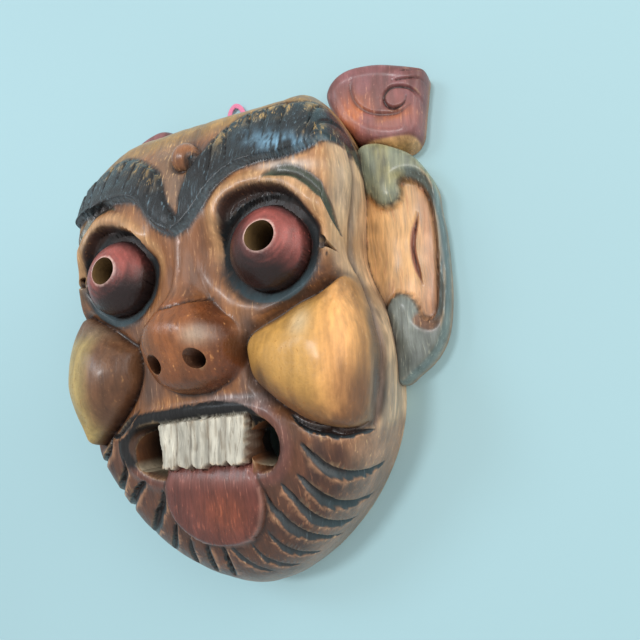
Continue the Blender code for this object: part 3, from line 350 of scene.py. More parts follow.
def lattice_noise(x, y, z, seed):
    """Smooth random values between 0 and 1 on a unit lattice, the same on every run."""
    corner = [np.floor(a).astype(np.int64) for a in (x, y, z)]
    ease = [a - c for a, c in zip((x, y, z), corner)]
    ease = [t * t * (3 - 2 * t) for t in ease]
    total = 0
    for i in (0, 1):
        for j in (0, 1):
            for k in (0, 1):
                key = ((corner[0] + i) * 73856093) ^ ((corner[1] + j) * 19349663)
                key = (key ^ ((corner[2] + k) * 83492791) ^ (seed * 2654435)) & 0xFFFFFFFF
                key = ((key ^ (key >> 13)) * 1274126177) & 0xFFFFFFFF
                value = ((key ^ (key >> 16)) & 0xFFFFFF) / float(0xFFFFFF)
                weight = ((ease[0] if i else 1 - ease[0]) * (ease[1] if j else 1 - ease[1])
                          * (ease[2] if k else 1 - ease[2]))
                total = total + weight * value
    return total


def outline_by_angle(points, middle=(0.0, 0.0), mirrored=False):
    """Radius knots of an outline, by angle from +y towards +x."""
    spots = [(math.atan2(x - middle[0], y - middle[1]), math.hypot(x - middle[0], y - middle[1]))
             for x, y in points]
    if mirrored:
        spots = spots[:-1] + [(math.pi, spots[-1][1])] + [(-a, r) for a, r in spots[1:-1]]
    spots.sort()
    before = [(a - 2 * math.pi, r) for a, r in spots[-3:]]
    after = [(a + 2 * math.pi, r) for a, r in spots[:3]]
    return before + spots + after


def crown_height(x, y):
    """The face without its features: a broad, boxy dome."""
    return through(y, CROWN) - through(y, CROWN_FALL) * (np.abs(x) / 60.0) ** 2.2


def snout_side(x, y):
    """Distance from the snout's middle as a share of its half width."""
    return np.abs(x + SNOUT_SHIFT) / through(y, SNOUT_HALF)


def add_snout(x, y, z):
    """Wide snub snout with a sharp lower edge, running up into a narrow bridge."""
    side = snout_side(x, y)
    body = through(y, SNOUT_TOP) - 16.0 * side ** (3.0 - smoothstep(6, 20, y))
    return np.where((y > -27) & (y < 50), soft_max(z, body, 2.0 + 2.5 * smoothstep(8, 20, y)), z)


def blurred(field, x, y, sigma, box):
    """A field of the plan smoothed over a distance, sampled at the given places."""
    low_x, high_x, low_y, high_y = box
    across, up = np.arange(low_x, high_x + 1.0), np.arange(low_y, high_y + 1.0)
    grid = field(*np.meshgrid(across, up))
    steps = np.arange(-math.ceil(3 * sigma), math.ceil(3 * sigma) + 1)
    weights = np.exp(-0.5 * (steps / sigma) ** 2)
    weights /= weights.sum()
    for axis in (0, 1):
        wide = np.pad(grid, [(len(steps) // 2,) * 2 if a == axis else (0, 0) for a in (0, 1)],
                      mode="edge")
        count = grid.shape[axis]
        grid = sum(w * np.take(wide, np.arange(k, k + count), axis)
                   for k, w in enumerate(weights))
    u = np.clip(x - low_x, 0, len(across) - 1.001)
    v = np.clip(y - low_y, 0, len(up) - 1.001)
    i, j = u.astype(int), v.astype(int)
    u, v = u - i, v - j
    return ((grid[j, i] * (1 - u) + grid[j, i + 1] * u) * (1 - v)
            + (grid[j + 1, i] * (1 - u) + grid[j + 1, i + 1] * u) * v)


def cheek_inside(x, y):
    """Distance to the nearer cheek's outline, positive inside."""
    return np.where(x > 0, area_field(x, y, smooth_line(CHEEK_RIGHT, closed=True), 20.0),
                    area_field(x, y, smooth_line(CHEEK_LEFT, closed=True), 20.0))


def add_cheeks(x, y, z):
    """Full, drop-shaped cheeks that point at the outer corners of the eyes."""
    inside = cheek_inside(x, y)
    sunk = z - 3.0 * smoothstep(-4, 1, inside)
    soft = blurred(cheek_inside, x, y, CHEEK_BLUR, (-80, 80, -50, 30))
    depth = inside + (soft - inside) * smoothstep(1.5, 8, inside)
    low, high = CHEEK_ROUND
    rise = np.clip(depth / (low + (high - low) * smoothstep(-22, 10, y)), 0, 1)
    puff = CHEEK_EDGE + CHEEK_RISE * np.sqrt(1 - (1 - rise) ** 2)
    return np.where(inside > 0, soft_max(sunk, puff, 1.5), sunk)


def lock_place(x, y):
    """Distance of a place from the leaning line between the locks, and whether it is to the right."""
    lean = LOCK_LEAN * np.exp(-((x / 14) ** 2)) * smoothstep(45, 57, y)
    across = x + LOCK_SHIFT + lean
    return np.abs(across), across > 0


def lock_inside(x, y, reach=6.0):
    """Distance to the nearer brow lock's outline, positive inside."""
    side, right = lock_place(x, y)
    return np.where(right, area_field(side, y, smooth_line(LOCK_RIGHT, closed=True), reach),
                    area_field(side, y, smooth_line(LOCK_LEFT, closed=True), reach))


def lock_edge(x, y, edges, reach):
    """Distance to one edge of the nearer brow lock."""
    side, right = lock_place(x, y)
    return np.where(right, line_field(side, y, smooth_line(edges[0]), reach)[0],
                    line_field(side, y, smooth_line(edges[1]), reach)[0])


def add_locks(x, y, z):
    """Raised brow locks that meet in a V, a little higher along their lower edge."""
    inside = lock_inside(x, y)
    fade = 1 - smoothstep(*LOCK_FADE, np.abs(x))
    lower = lock_edge(x, y, LOCK_LOWER, 12.0)
    ridge = 0.6 * np.exp(-(((lower - 1.6) / 1.2) ** 2)) * smoothstep(0, 1.2, inside)
    relief = LOCK_RELIEF * (1 - 0.35 * smoothstep(4, 12, lower))
    return z + fade * (relief * smoothstep(-0.35, 1.0, inside) + ridge)


def around_eye(x, y):
    """Distance from the eye's centre, and how far the place lies above it."""
    away_x = x - np.where(x > 0, EYE_RIGHT[0], EYE_LEFT[0])
    away_y = y - np.where(x > 0, EYE_RIGHT[1], EYE_LEFT[1])
    r = np.hypot(away_x, away_y)
    return r, away_y / np.maximum(r, 1e-6)


def lid_inside(x, y):
    """Distance to the opening of the nearer eyelid, positive inside."""
    return np.where(x > 0, area_field(x, y, smooth_line(LID_RIGHT, closed=True)),
                    area_field(x, y, smooth_line(LID_LEFT, closed=True)))


def add_lids(x, y, z):
    """Recess between the upper lid's rolled edge and the ring around the eye."""
    _, up = around_eye(x, y)
    lid = lid_inside(x, y)
    above = smoothstep(-0.4, 0.35, up)
    roll = LID_ROLL * np.exp(-(((lid + 3.0) / 2.6) ** 2)) * above
    return z + roll - LID_SINK * above * smoothstep(-0.6, 1.6, lid)


def add_eyes(x, y, z):
    """A flat ring and a bulging ball for each eye."""
    r, up = around_eye(x, y)
    ring = RING_HEIGHT + 0.8 * smoothstep(-0.2, 1, up)
    slope = ring + 0.5 + SOCKET_SLOPE * (r - RING_RADIUS)
    open_side = smoothstep(34, 28, r) * (1 - smoothstep(0.1, 0.7, up))
    z = z - open_side * np.clip(z - soft_max(-z, -slope, 2.0) * -1, 0, None)
    sunk = np.minimum(z, ring + 6.0 * smoothstep(RING_RADIUS - 1.0, RING_RADIUS + 0.8, r))
    z = np.where(r < RING_RADIUS + 0.8, sunk, z)
    ball = BALL_HEIGHT + np.sqrt(np.clip(BALL_SPHERE**2 - r**2, 0, None))
    return np.where(r < BALL_RADIUS, np.maximum(z, ball), z)


def mouth_inside(x, y):
    """Distance to the mouth's opening, positive inside."""
    return area_field(x, y, smooth_line(MOUTH, closed=True))


def tongue_inside(x, y):
    """Distance to the tongue's outline, positive inside."""
    return area_field(x, y, smooth_line(TONGUE, closed=True), 6.0)


def teeth_inside(x, y):
    """Distance to the outline of the teeth, with scalloped lower edges."""
    scallop = sum(1.3 * np.exp(-(((x - gap) / 1.3) ** 2)) for gap in TOOTH_GAPS)
    scallop = scallop + 1.4 * (lattice_noise(x / 1.6, x * 0, x * 0, 13) - 0.5)
    lower = smoothstep(-46, -52, y)
    return area_field(x, y - scallop * lower, np.array(TEETH, float), 6.0)


def add_mouth(x, y, z):
    """Open mouth with a block of teeth, and the tongue over the lower lip."""
    mouth = mouth_inside(x, y)
    teeth = teeth_inside(x, y)
    tongue = tongue_inside(x, y)
    z = z + LIP_RELIEF * smoothstep(-8, -3, mouth) * (1 - 0.4 * smoothstep(-3, -0.5, mouth))
    floor = np.minimum(z, np.where(teeth > -1, MOUTH_FLOOR, through(x, CAVITY_SLOPE)))
    z = z + (floor - z) * smoothstep(-0.8, 1.4, mouth)
    front = TEETH_HEIGHT - 0.004 * x * x
    for gap in TOOTH_GAPS:
        front = front - 0.6 * np.exp(-(((x - gap - 0.03 * (y + 45)) / 0.7) ** 2))
    chips = lattice_noise(x / 1.8, y / 6.0, z * 0, 11)
    chips = chips + 0.7 * lattice_noise(x / 0.8, y / 2.5, z * 0, 12)
    front = front + 0.75 * (chips - 0.85)
    block = MOUTH_FLOOR + (front - MOUTH_FLOOR) * smoothstep(-0.4, 0.8, teeth)
    z = np.where(teeth > -1, np.maximum(z, block), z)
    top = through(y, TONGUE_TOP) - TONGUE_CAMBER * (np.abs(x) / 22.5) ** 2.5
    top = top - 1.2 * (1 - smoothstep(0, 2, tongue))
    return np.where((tongue > 0) & (teeth < 0), np.maximum(z, top), z), mouth, tongue


def groove_place(flat_x, flat_y, cut):
    """Place across a groove, 0 at its deep line to 1 at its edge, its taper and the steep side."""
    points, width, _ = cut
    d, share, side = line_field(flat_x, flat_y, smooth_line(points), width + 2)
    taper = np.clip(1 - (2 * share - 1) ** 2, 0, 1) ** 0.75
    turn = np.sign(points[0][0] + points[-1][0] + 1e-6)
    steep = side * turn > 0
    half = width * (0.1 + 0.9 * taper) * np.where(steep, BEARD_LIP, BEARD_SLOPE)
    return d / half, taper, steep


def groove(flat_x, flat_y, cut):
    """Depth of a tapered cut, steep on the side nearer the face and easy on the other."""
    across, taper, _ = groove_place(flat_x, flat_y, cut)
    return -BEARD_DEPTH * cut[2] * taper * (1 - smoothstep(0, 1, across))


def pointed(share, fullness=2.2, end=0.04):
    """Width of a cut along its length: 1 in its middle, narrow at both ends."""
    return np.clip(np.sin(math.pi * np.clip(share, end, 1 - end)) * fullness, 0, 1)


def line_cut(x, y, cut):
    """Depth of an even, pointed cut along a line."""
    points, width, depth = cut
    d, share, _ = line_field(x, y, smooth_line(points), width + 2)
    taper = pointed(share)
    return -depth * taper * (1 - smoothstep(0, 1, d / (0.5 * width * taper + 0.2)))


def strand_cuts(x, y):
    """Depth of the wedge cuts between the strands of the brow locks."""
    depth = np.zeros(x.shape)
    across, right = lock_place(x, y)
    for strands, here in zip(LOCK_STRANDS, (right, ~right)):
        for start, end in strands:
            d, share, side = line_field(across, y, np.array([start, end], float), 4.0)
            half = np.where(side > 0, 2.4, 0.5) * (1 - 0.75 * share)
            cut = -1.1 * (1 - smoothstep(0, 1, d / half)) * (1 - 0.6 * share)
            depth = np.where(here, np.minimum(depth, cut), depth)
    return depth


def notch_inside(flat_x, flat_y):
    """Distance into the wedge cut at the outer corner of each eye."""
    return area_field(np.abs(flat_x), flat_y, np.array(NOTCH, float), 2.0)


def face_cuts(x, y, flat_x, flat_y, mouth, tongue):
    """Shallow carving, moved along the surface normal."""
    clear = (1 - smoothstep(-2, 0, tongue)) * (1 - smoothstep(-2.5, -1, mouth))
    move = np.zeros(x.shape)
    for cut in BEARD:
        move = np.minimum(move, groove(flat_x, flat_y, cut) * clear)
    r = np.hypot(x - BUMP_CENTRE[0], y - BUMP_CENTRE[1]) / BUMP_RADIUS
    dome = BUMP_RELIEF * np.sqrt(np.clip(1 - r**2, 0, 1))
    move = move + dome - 0.9 * np.exp(-(((r - 1.1) * 5.5) ** 2))
    move = move + strand_cuts(x, y)
    move = move + line_cut(np.abs(flat_x), flat_y, LID_CRESCENT) + line_cut(x, y, SNOUT_CREASE)
    for cut in BAG_CREASES:
        move = move + line_cut(x, y, cut)
    points, width, depth = TEMPLE_GROOVE
    d = line_field(np.abs(flat_x), flat_y, smooth_line(points), 4 * width)[0]
    move = move - depth * np.exp(-((d / (0.5 * width)) ** 2))
    return move - NOTCH_DEPTH * smoothstep(0, 0.9, notch_inside(flat_x, flat_y))


def ear_height(x, y):
    """Ear frame with rolled ends around a sunken panel with a slit."""
    panel = area_field(x, y, smooth_line(EAR_PANEL, closed=True), 8.0)
    frame_top = EAR_FRAME_HEIGHT + 1.0 * smoothstep(0, 5, -panel)
    floor = EAR_PANEL_HEIGHT + 0.012 * np.clip(90 - x, 0, None) ** 1.6
    z = frame_top + (floor - frame_top) * smoothstep(-0.8, 0.8, panel)
    return z + line_cut(x, y, EAR_GROOVE) + line_cut(x, y, EAR_SLIT)


def scroll_height(x, y):
    """Leaf with a spiral: a convex outer band that curls into a round boss."""
    band = area_field(x, y, smooth_line(SCROLL_OUTLINE, closed=True), 8.0)
    z = SCROLL_HEIGHT + 1.5 * smoothstep(0, 8, band) - 1.2 * smoothstep(6, 12, band)
    for cut in SCROLL_CUTS + SCROLL_LINES:
        z = z + line_cut(x, y, cut)
    return z


def read_points(mesh, kind="co"):
    """Coordinates of a mesh's vertices as an array."""
    values = np.zeros(len(mesh.vertices) * 3)
    if kind == "co":
        mesh.vertices.foreach_get("co", values)
    else:
        mesh.vertex_normals.foreach_get("vector", values)
    return values.reshape(-1, 3)


def write_points(mesh, places):
    """Move a mesh's vertices to the given places."""
    mesh.vertices.foreach_set("co", np.asarray(places, float).ravel())
    mesh.update()


def mask_grid(cells, front_cells=None):
    """Square grid rolled onto a disc: the mesh, and each vertex's angle and radius share."""
    bm = bmesh.new()
    bmesh.ops.create_grid(bm, x_segments=cells, y_segments=cells, size=1.0)
    mesh = bpy.data.meshes.new("grid")
    bm.to_mesh(mesh)
    bm.free()
    u, v, _ = read_points(mesh).T
    ring = np.clip(np.maximum(np.abs(u), np.abs(v)), 0, 1)
    safe = np.maximum(ring, 1e-9)
    wide = np.abs(u) > np.abs(v)
    turn = np.where(wide, 2 - v / safe * np.sign(u), u / safe * np.sign(v))
    behind = np.where(wide, u < 0, v < 0)
    angle = turn * math.pi / 4 + np.where(behind, math.pi, 0)
    angle = (angle + math.pi) % (2 * math.pi) - math.pi
    share = ring
    if front_cells:
        share = np.interp(ring, [0, front_cells, 1], [0, FRONT_SHARE, 1])
    return mesh, angle, share


def closed_block(mesh, name, kind, plan, flat, low_at=UNDERCUT):
    """Drop the grid's edge below the back, fill the underside and note where each corner lies."""
    count = len(mesh.vertices)
    bm = bmesh.new()
    bm.from_mesh(mesh)
    border = [e for e in bm.edges if e.is_boundary]
    skirt = bmesh.ops.extrude_edge_only(bm, edges=border)["geom"]
    for vert in skirt:
        if isinstance(vert, bmesh.types.BMVert):
            vert.co.z = low_at * MM
    bmesh.ops.contextual_create(bm, geom=[e for e in bm.edges if e.is_boundary])
    bmesh.ops.recalc_face_normals(bm, faces=bm.faces)
    bm.to_mesh(mesh)
    bm.free()
    places = read_points(mesh) / MM
    rest = places[count:, :2] + [0, BLOCK_CENTRE_Y]
    plan = np.vstack([plan, rest])
    flat = np.vstack([flat, rest])
    return marked(mesh, name, kind, plan, flat)


def marked(mesh, name, kind, plan, flat):
    """Object of a mesh whose corners keep their drawing places and whose faces keep their kind."""
    corners = np.zeros(len(mesh.loops), np.int64)
    mesh.loops.foreach_get("vertex_index", corners)
    for layer, places in (("plan", plan), ("flat", flat)):
        data = mesh.uv_layers.new(name=layer).data
        data.foreach_set("uv", places[corners].astype(np.float32).ravel())
    for number in range(BACK + 1):
        slot = "kind_%d" % number
        mesh.materials.append(bpy.data.materials.get(slot) or bpy.data.materials.new(slot))
    mesh.polygons.foreach_set("material_index", np.full(len(mesh.polygons), kind, np.int32))
    mesh.name = name
    obj = bpy.data.objects.new(name, mesh)
    bpy.context.scene.collection.objects.link(obj)
    return obj


def bake(obj):
    """Replace an object's mesh by its evaluated one and drop its modifiers."""
    evaluated = obj.evaluated_get(bpy.context.evaluated_depsgraph_get())
    mesh = bpy.data.meshes.new_from_object(evaluated)
    obj.modifiers.clear()
    obj.data = mesh
    return obj


def thin_out(obj, triangles):
    """Collapse edges until the solid has about the given number of triangles."""
    obj.modifiers.new("triangles", "TRIANGULATE")
    bake(obj)
    modifier = obj.modifiers.new("thin", "DECIMATE")
    modifier.ratio = min(1.0, triangles / len(obj.data.polygons))
    return bake(obj)


def drop_fins(bm):
    """Delete pairs of slivers that lie back to back on the same three corners."""
    fins = set()
    for edge in bm.edges:
        if len(edge.link_faces) > 2:
            corners = [frozenset(face.verts) for face in edge.link_faces]
            fins.update(face for face, key in zip(edge.link_faces, corners)
                        if corners.count(key) > 1)
    bmesh.ops.delete(bm, geom=list(fins), context="FACES")


def combine(target, other, operation):
    """Exact Boolean of the mask with one more solid, which is then removed."""
    modifier = target.modifiers.new(other.name, "BOOLEAN")
    modifier.operation = operation
    modifier.solver = "EXACT"
    modifier.object = other
    bake(target)
    bpy.data.objects.remove(other)
    bm = bmesh.new()
    bm.from_mesh(target.data)
    bmesh.ops.remove_doubles(bm, verts=bm.verts, dist=WELD * MM)
    bmesh.ops.dissolve_degenerate(bm, edges=bm.edges, dist=WELD * MM)
    bmesh.ops.triangulate(bm, faces=bm.faces)
    drop_fins(bm)
    bm.to_mesh(target.data)
    bm.free()
    return target


def face_block(cells, triangles):
    """The carved face as a closed block, not yet hollowed."""
    mesh, angle, share = mask_grid(cells, FRONT_CELLS)
    shoulder = through(angle, outline_by_angle(SHOULDER_RIGHT + SHOULDER_LEFT))
    rim = through(angle, outline_by_angle(RIM, mirrored=True))
    width = through(np.abs(angle), SHOULDER_WIDTH)
    wall = np.clip((share - FRONT_SHARE) / (1 - FRONT_SHARE), 0, 1) * math.pi / 2
    inset = width * (1 - np.sin(wall) ** (2 / SHOULDER_POWER))
    drop = np.clip(np.cos(wall), 0, 1) ** (2 / SHOULDER_POWER)
    radius = np.where(share > FRONT_SHARE, shoulder - inset, (shoulder - width) * share / FRONT_SHARE)
    x, y = radius * np.sin(angle), radius * np.cos(angle)
    z = add_snout(x, y, crown_height(x, y))
    z = add_eyes(x, y, add_locks(x, y, add_lids(x, y, add_cheeks(x, y, z))))
    z, mouth, tongue = add_mouth(x, y, z)
    z = np.where(share >= 1, 0.0, z * drop)
    lean = (rim - shoulder) * (1 - smoothstep(0, LEAN_HEIGHT, z)) * (radius / shoulder) ** 6
    places = np.stack([(radius + lean) * np.sin(angle), (radius + lean) * np.cos(angle), z], -1)
    write_points(mesh, places)
    normals = read_points(mesh, "normal")
    normals *= np.sign(normals[len(normals) // 2, 2])
    flat = 100 * np.stack([share * np.sin(angle), share * np.cos(angle)], -1)
    carve = face_cuts(x, y, flat[:, 0], flat[:, 1], mouth, tongue)
    facets = lattice_noise(x / 7, y / 9, z / 7, 3) + 0.5 * lattice_noise(x / 3, y / 4, z / 3, 4) - 0.75
    carve = (carve + 0.35 * facets) * (1 - smoothstep(0.95, 1.0, share))
    places = places + normals * carve[:, None] - [0, BLOCK_CENTRE_Y, 0]
    write_points(mesh, places * MM)
    block = closed_block(mesh, "carved_mask_finish", FACE, np.stack([x, y], -1), flat)
    return thin_out(block, triangles)


def hollow_block():
    """The hollow behind the face, as wide as the rim's inner edge."""
    mesh, angle, share = mask_grid(HOLLOW_CELLS)
    rim = through(angle, outline_by_angle(RIM, mirrored=True)) - RIM_WALL
    radius = rim * np.sin(share * math.pi / 2) ** 0.8
    x, y = radius * np.sin(angle), radius * np.cos(angle)
    roof = np.minimum(crown_height(x, y) - ROOF_WALL, MOUTH_FLOOR - 3.0)
    z = roof * np.clip(1 - (radius / rim) ** 5, 0, 1) ** 0.25
    gouges = 0.8 * (lattice_noise(x / 6, y / 16, z / 6, 8) - 0.5) * smoothstep(0, 8, z)
    plan = np.stack([x, y], -1)
    write_points(mesh, np.stack([x, y - BLOCK_CENTRE_Y, z + gouges], -1) * MM)
    return closed_block(mesh, "hollow", HOLLOW, plan, plan, 2 * UNDERCUT)


def relief_plate(kind, cells, middle, outline, height, edge, side, width, shift=0.0):
    """Flat-backed carved plate with a rounded edge; a width below 1 narrows it towards the head."""
    mesh, angle, share = mask_grid(cells)
    closed = smooth_line(outline, closed=True, steps=3)
    reach = through(angle, outline_by_angle(closed, middle))
    front = 1 - PLATE_EDGE_SHARE * edge
    wall = np.clip((share - front) / (1 - front), 0, 1) * math.pi / 2
    radius = np.where(share > front, reach - edge * (1 - np.sin(wall)), (reach - edge) * share / front)
    x = middle[0] + radius * np.sin(angle)
    y = middle[1] + radius * np.cos(angle)
    facets = 0.3 * (lattice_noise(x / 5, y / 9, x * 0, 20 + kind) - 0.5)
    z = (height(x, y) + facets) * np.clip(np.cos(wall), 0, 1) ** 0.6
    plan = np.stack([x, y], -1)
    outer = max(p[0] for p in outline)
    across = (outer - (outer - x) * width - shift) * side
    write_points(mesh, np.stack([across, y - BLOCK_CENTRE_Y, z], -1) * MM)
    return closed_block(mesh, "plate", kind, plan, plan)


def round_cutter(kind, radius_x, radius_y, base, top, centre, sides, spread=1.0):
    """Round or oval cutter from base to top height, wider at its top by the given factor."""
    bm = bmesh.new()
    bmesh.ops.create_cone(bm, cap_ends=True, segments=sides, radius1=1, radius2=spread, depth=1)
    for vert in bm.verts:
        vert.co.x = (centre[0] + vert.co.x * radius_x) * MM
        vert.co.y = (centre[1] - BLOCK_CENTRE_Y + vert.co.y * radius_y) * MM
        vert.co.z = (base + (top - base) * (vert.co.z + 0.5)) * MM
    return cutter_object(bm, kind)


def cord_hole(x):
    """Drilled hole along y through the top of the rim."""
    bm = bmesh.new()
    turn = Matrix.Rotation(math.pi / 2, 4, "X")
    bmesh.ops.create_cone(bm, cap_ends=True, segments=16, radius1=CORD_HOLE_RADIUS * MM,
                          radius2=CORD_HOLE_RADIUS * MM, depth=CORD_HOLE_LENGTH * MM, matrix=turn)
    shift = Matrix.Translation((x * MM, (CORD_HOLE_MIDDLE_Y - BLOCK_CENTRE_Y) * MM,
                                CORD_HOLE_HEIGHT * MM))
    bmesh.ops.transform(bm, matrix=shift, verts=bm.verts)
    return cutter_object(bm, CORD_HOLE)


def back_plane():
    """Everything below the back plane."""
    bm = bmesh.new()
    bmesh.ops.create_cube(bm, size=1.0)
    for vert in bm.verts:
        vert.co.x *= 300 * MM
        vert.co.y *= 300 * MM
        vert.co.z = (vert.co.z - 0.5) * 20 * MM
    return cutter_object(bm, BACK)


def cutter_object(bm, kind):
    """Cutter with its drawing places taken straight from its vertices."""
    mesh = bpy.data.meshes.new("cutter")
    bm.to_mesh(mesh)
    bm.free()
    plan = read_points(mesh)[:, :2] / MM + [0, BLOCK_CENTRE_Y]
    return marked(mesh, "cutter", kind, plan, plan)


def joined(objects):
    """One object of several that don't touch."""
    bm = bmesh.new()
    for obj in objects:
        bm.from_mesh(obj.data)
    bm.to_mesh(objects[0].data)
    bm.free()
    for obj in objects[1:]:
        bpy.data.objects.remove(obj)
    return objects[0]


def whole_mask(cells, triangles):
    """The carved block with its ears, ornaments, hollow and holes."""
    mask = face_block(cells, triangles)
    plates = cells // 5
    ears = joined([relief_plate(EAR, plates, EAR_MIDDLE, EAR_OUTLINE, ear_height, EAR_SHOULDER,
                                side, 1.0) for side in (1, -1)])
    combine(mask, ears, "UNION")
    scrolls = joined([relief_plate(SCROLL, plates, SCROLL_MIDDLE, SCROLL_OUTLINE, scroll_height,
                                   SCROLL_SHOULDER, side, width, shift)
                      for side, width, shift in ((1, 1.0, 0.0),
                                                 (-1, LEFT_SCROLL_WIDTH, LEFT_SCROLL_SHIFT))])
    combine(mask, scrolls, "UNION")
    combine(mask, hollow_block(), "DIFFERENCE")
    drills = [round_cutter(PUPIL, PUPIL_RADIUS, PUPIL_RADIUS, CUTTER_BASE, CUTTER_TOP, place, 64)
              for place in (PUPIL_RIGHT, PUPIL_LEFT)]
    drills += [round_cutter(SIDE_HOLE, wide, tall, CUTTER_BASE, MOUTH_HOLE_TOP, (x, y), 48)
               for x, y, wide, tall in MOUTH_HOLES]
    drills += [round_cutter(NOSTRIL, NOSTRIL_RADIUS, NOSTRIL_RADIUS, NOSTRIL_FLOOR, NOSTRIL_TOP,
                            place, 32, NOSTRIL_SPREAD) for place in NOSTRILS]
    drills += [cord_hole(x) for x in CORD_HOLES_X] + [back_plane()]
    combine(mask, joined(drills), "DIFFERENCE")
    return mask


def srgb(red, green, blue):
    """Linear colour of an 8-bit display colour."""
    c = np.array([red, green, blue], float) / 255.0
    return np.where(c <= 0.04045, c / 12.92, ((c + 0.055) / 1.055) ** 2.4)


def opaque(colour):
    """Colour as the four numbers that a node's socket takes."""
    return (*colour, 1.0)


# Share of each coat's wear that shows on a mask kept indoors
WEAR_SHARE = 0.62

# Stains and paints
WOOD_MID = srgb(150, 98, 56)
WOOD_LIGHT = srgb(198, 148, 96)
WOOD_DARK = srgb(88, 52, 32)
WOOD_PALE = srgb(226, 190, 142)
# Near-black brown, used both for stained cuts and lines and for painted shade
STAIN_AND_SHADE = srgb(38, 22, 16)
OLIVE_TAN = srgb(166, 132, 76)
PURPLE_BROWN = srgb(104, 78, 70)
OCHRE = srgb(195, 147, 74)
OCHRE_FLECK = srgb(140, 92, 36)
HAIR = srgb(19, 27, 32)
HAIR_SCRATCH = srgb(98, 122, 134)
HAIR_WORN = srgb(190, 156, 98)
RING = srgb(15, 23, 27)
# Blue-grey of rubbed ring paint, also laid as painted light on the ring's lower part
RING_WORN_AND_LIT = srgb(70, 92, 100)
# Lit and shaded reds of the eyeballs, for painted light and shade
BALL_LIT = srgb(164, 84, 76)
BALL_SHADED = srgb(26, 4, 7)
BALL_RIM = srgb(228, 192, 180)
GROOVE_PAINT = srgb(46, 55, 59)
GROOVE_DEEP = srgb(16, 22, 26)
GROOVE_WORN = srgb(166, 122, 90)
LIP_BLACK = srgb(10, 11, 13)
LIP_RED = srgb(118, 74, 64)
CAVITY = srgb(118, 74, 42)
# Near-black painted shade deep in the mouth's cavities and holes
CAVITY_SHADE = srgb(16, 9, 6)
TOOTH = srgb(196, 192, 177)
TOOTH_DIRT = srgb(96, 82, 66)
TONGUE_RED = srgb(95, 49, 42)
TONGUE_ORANGE = srgb(158, 82, 46)
TONGUE_EDGE = srgb(172, 124, 108)
CRESCENT_OLIVE = srgb(70, 78, 62)
EAR_GREEN = srgb(138, 144, 120)
EAR_GREY = srgb(121, 130, 125)
EAR_DARK = srgb(84, 94, 94)
EAR_WOOD = srgb(222, 175, 118)
EAR_STREAK = srgb(172, 118, 86)
SLIT_RED = srgb(136, 80, 76)
SCROLL_RED = srgb(118, 73, 71)
SCROLL_ORANGE = srgb(190, 110, 66)
SCROLL_LINE = srgb(84, 52, 50)
BARE_WOOD = srgb(186, 142, 98)
BARE_STREAK = srgb(150, 106, 68)
RIBBON_PINK = srgb(232, 132, 168)
FLOOR_BLUE = srgb(167, 204, 212)


# Soft patches of paint, some of them painted highlights and shade: middle and reach across, middle and
# reach upwards, and any slope
SPOTS = {"between_the_eyes": (0, 22, 32, 20), "nose_bridge": (1, 9, 28, 16),
         "bridge_shadow": (16, 6, 41, 8), "inner_socket": (24, 9, 14, 12),
         "temple_edge": (82, 5, 42, 14), "snout_left": (-9, 5, -5, 7),
         "snout_glint": (11, 4, -3.5, 3.5), "cheek_glint": (49, 4, -2, 5),
         "cheek_corner": (31.5, 3, -21, 6), "left_cheek_foot": (-48, 6, -29, 6),
         "above_the_eye_highlight": (52, 5, 51, 3), "brow_glint": (46, 10, 57.85, 2.4, -0.15),
         "left_eye_corner": (-61, 4, 26, 7), "lock_end": (58, 4.5, 71, 3.5),
         "lock_sheen": (44, 14, 67.4, 4.5, -0.45), "tongue_glow": (9, 11, -70, 9),
         "ear_lobe": (73, 8, -17, 4.5), "scroll_glow": (58, 9, 100, 9),
         "scroll_foot": (76, 15, 91.5, 4.5)}


class Coat:
    """Paint at many places: top colour, what shows through, its wear, polish and rubbed edges."""

    def __init__(self, count):
        self.top = np.tile(WOOD_MID, (count, 1))
        self.under = np.tile(WOOD_LIGHT, (count, 1))
        self.wear = np.full(count, 0.3)
        self.grain = np.full(count, 0.7)
        self.rough = np.full(count, 0.4)
        self.even = np.full(count, 0.2)
        self.height = np.full(count, 0.5)
        self.edge = np.ones(count)

    def lay(self, amount, top=None, under=None, **values):
        """Cover the coat by an amount between 0 and 1."""
        amount = np.clip(amount, 0, 1)
        if top is not None:
            self.top += (top - self.top) * amount[:, None]
        if under is not None:
            self.under += (under - self.under) * amount[:, None]
        for name, value in values.items():
            field = getattr(self, name)
            field += (value - field) * amount


def bell(value, middle, spread):
    """Smooth bump of height 1 around a middle value."""
    return np.exp(-(((value - middle) / spread) ** 2))


def spot(x, y, name):
    """Soft oval patch of paint, 1 at its middle."""
    middle_x, reach_x, middle_y, reach_y, *slope = SPOTS[name]
    rise = slope[0] * (x - middle_x) if slope else 0.0
    return bell(x, middle_x, reach_x) * bell(y - rise, middle_y, reach_y)


def concavity(mesh, rounds):
    """How hollow (towards 1) or edge-like (towards -1) the surface is at each vertex."""
    places = read_points(mesh)
    normals = read_points(mesh, "normal")
    edges = np.zeros(len(mesh.edges) * 2, np.int64)
    mesh.edges.foreach_get("vertices", edges)
    a, b = edges.reshape(-1, 2).T
    step = places[b] - places[a]
    length = np.maximum(np.linalg.norm(step, axis=1), 1e-9)
    count = np.bincount(a, minlength=len(places)) + np.bincount(b, minlength=len(places))
    bend = np.bincount(a, (normals[a] * step).sum(1) / length, len(places))
    bend += np.bincount(b, -(normals[b] * step).sum(1) / length, len(places))
    bend /= np.maximum(count, 1)
    for _ in range(rounds):
        spread = np.bincount(a, bend[b], len(places)) + np.bincount(b, bend[a], len(places))
        bend = 0.5 * bend + 0.5 * spread / np.maximum(count, 1)
    return np.clip(bend / np.percentile(np.abs(bend), 96), -1, 1)


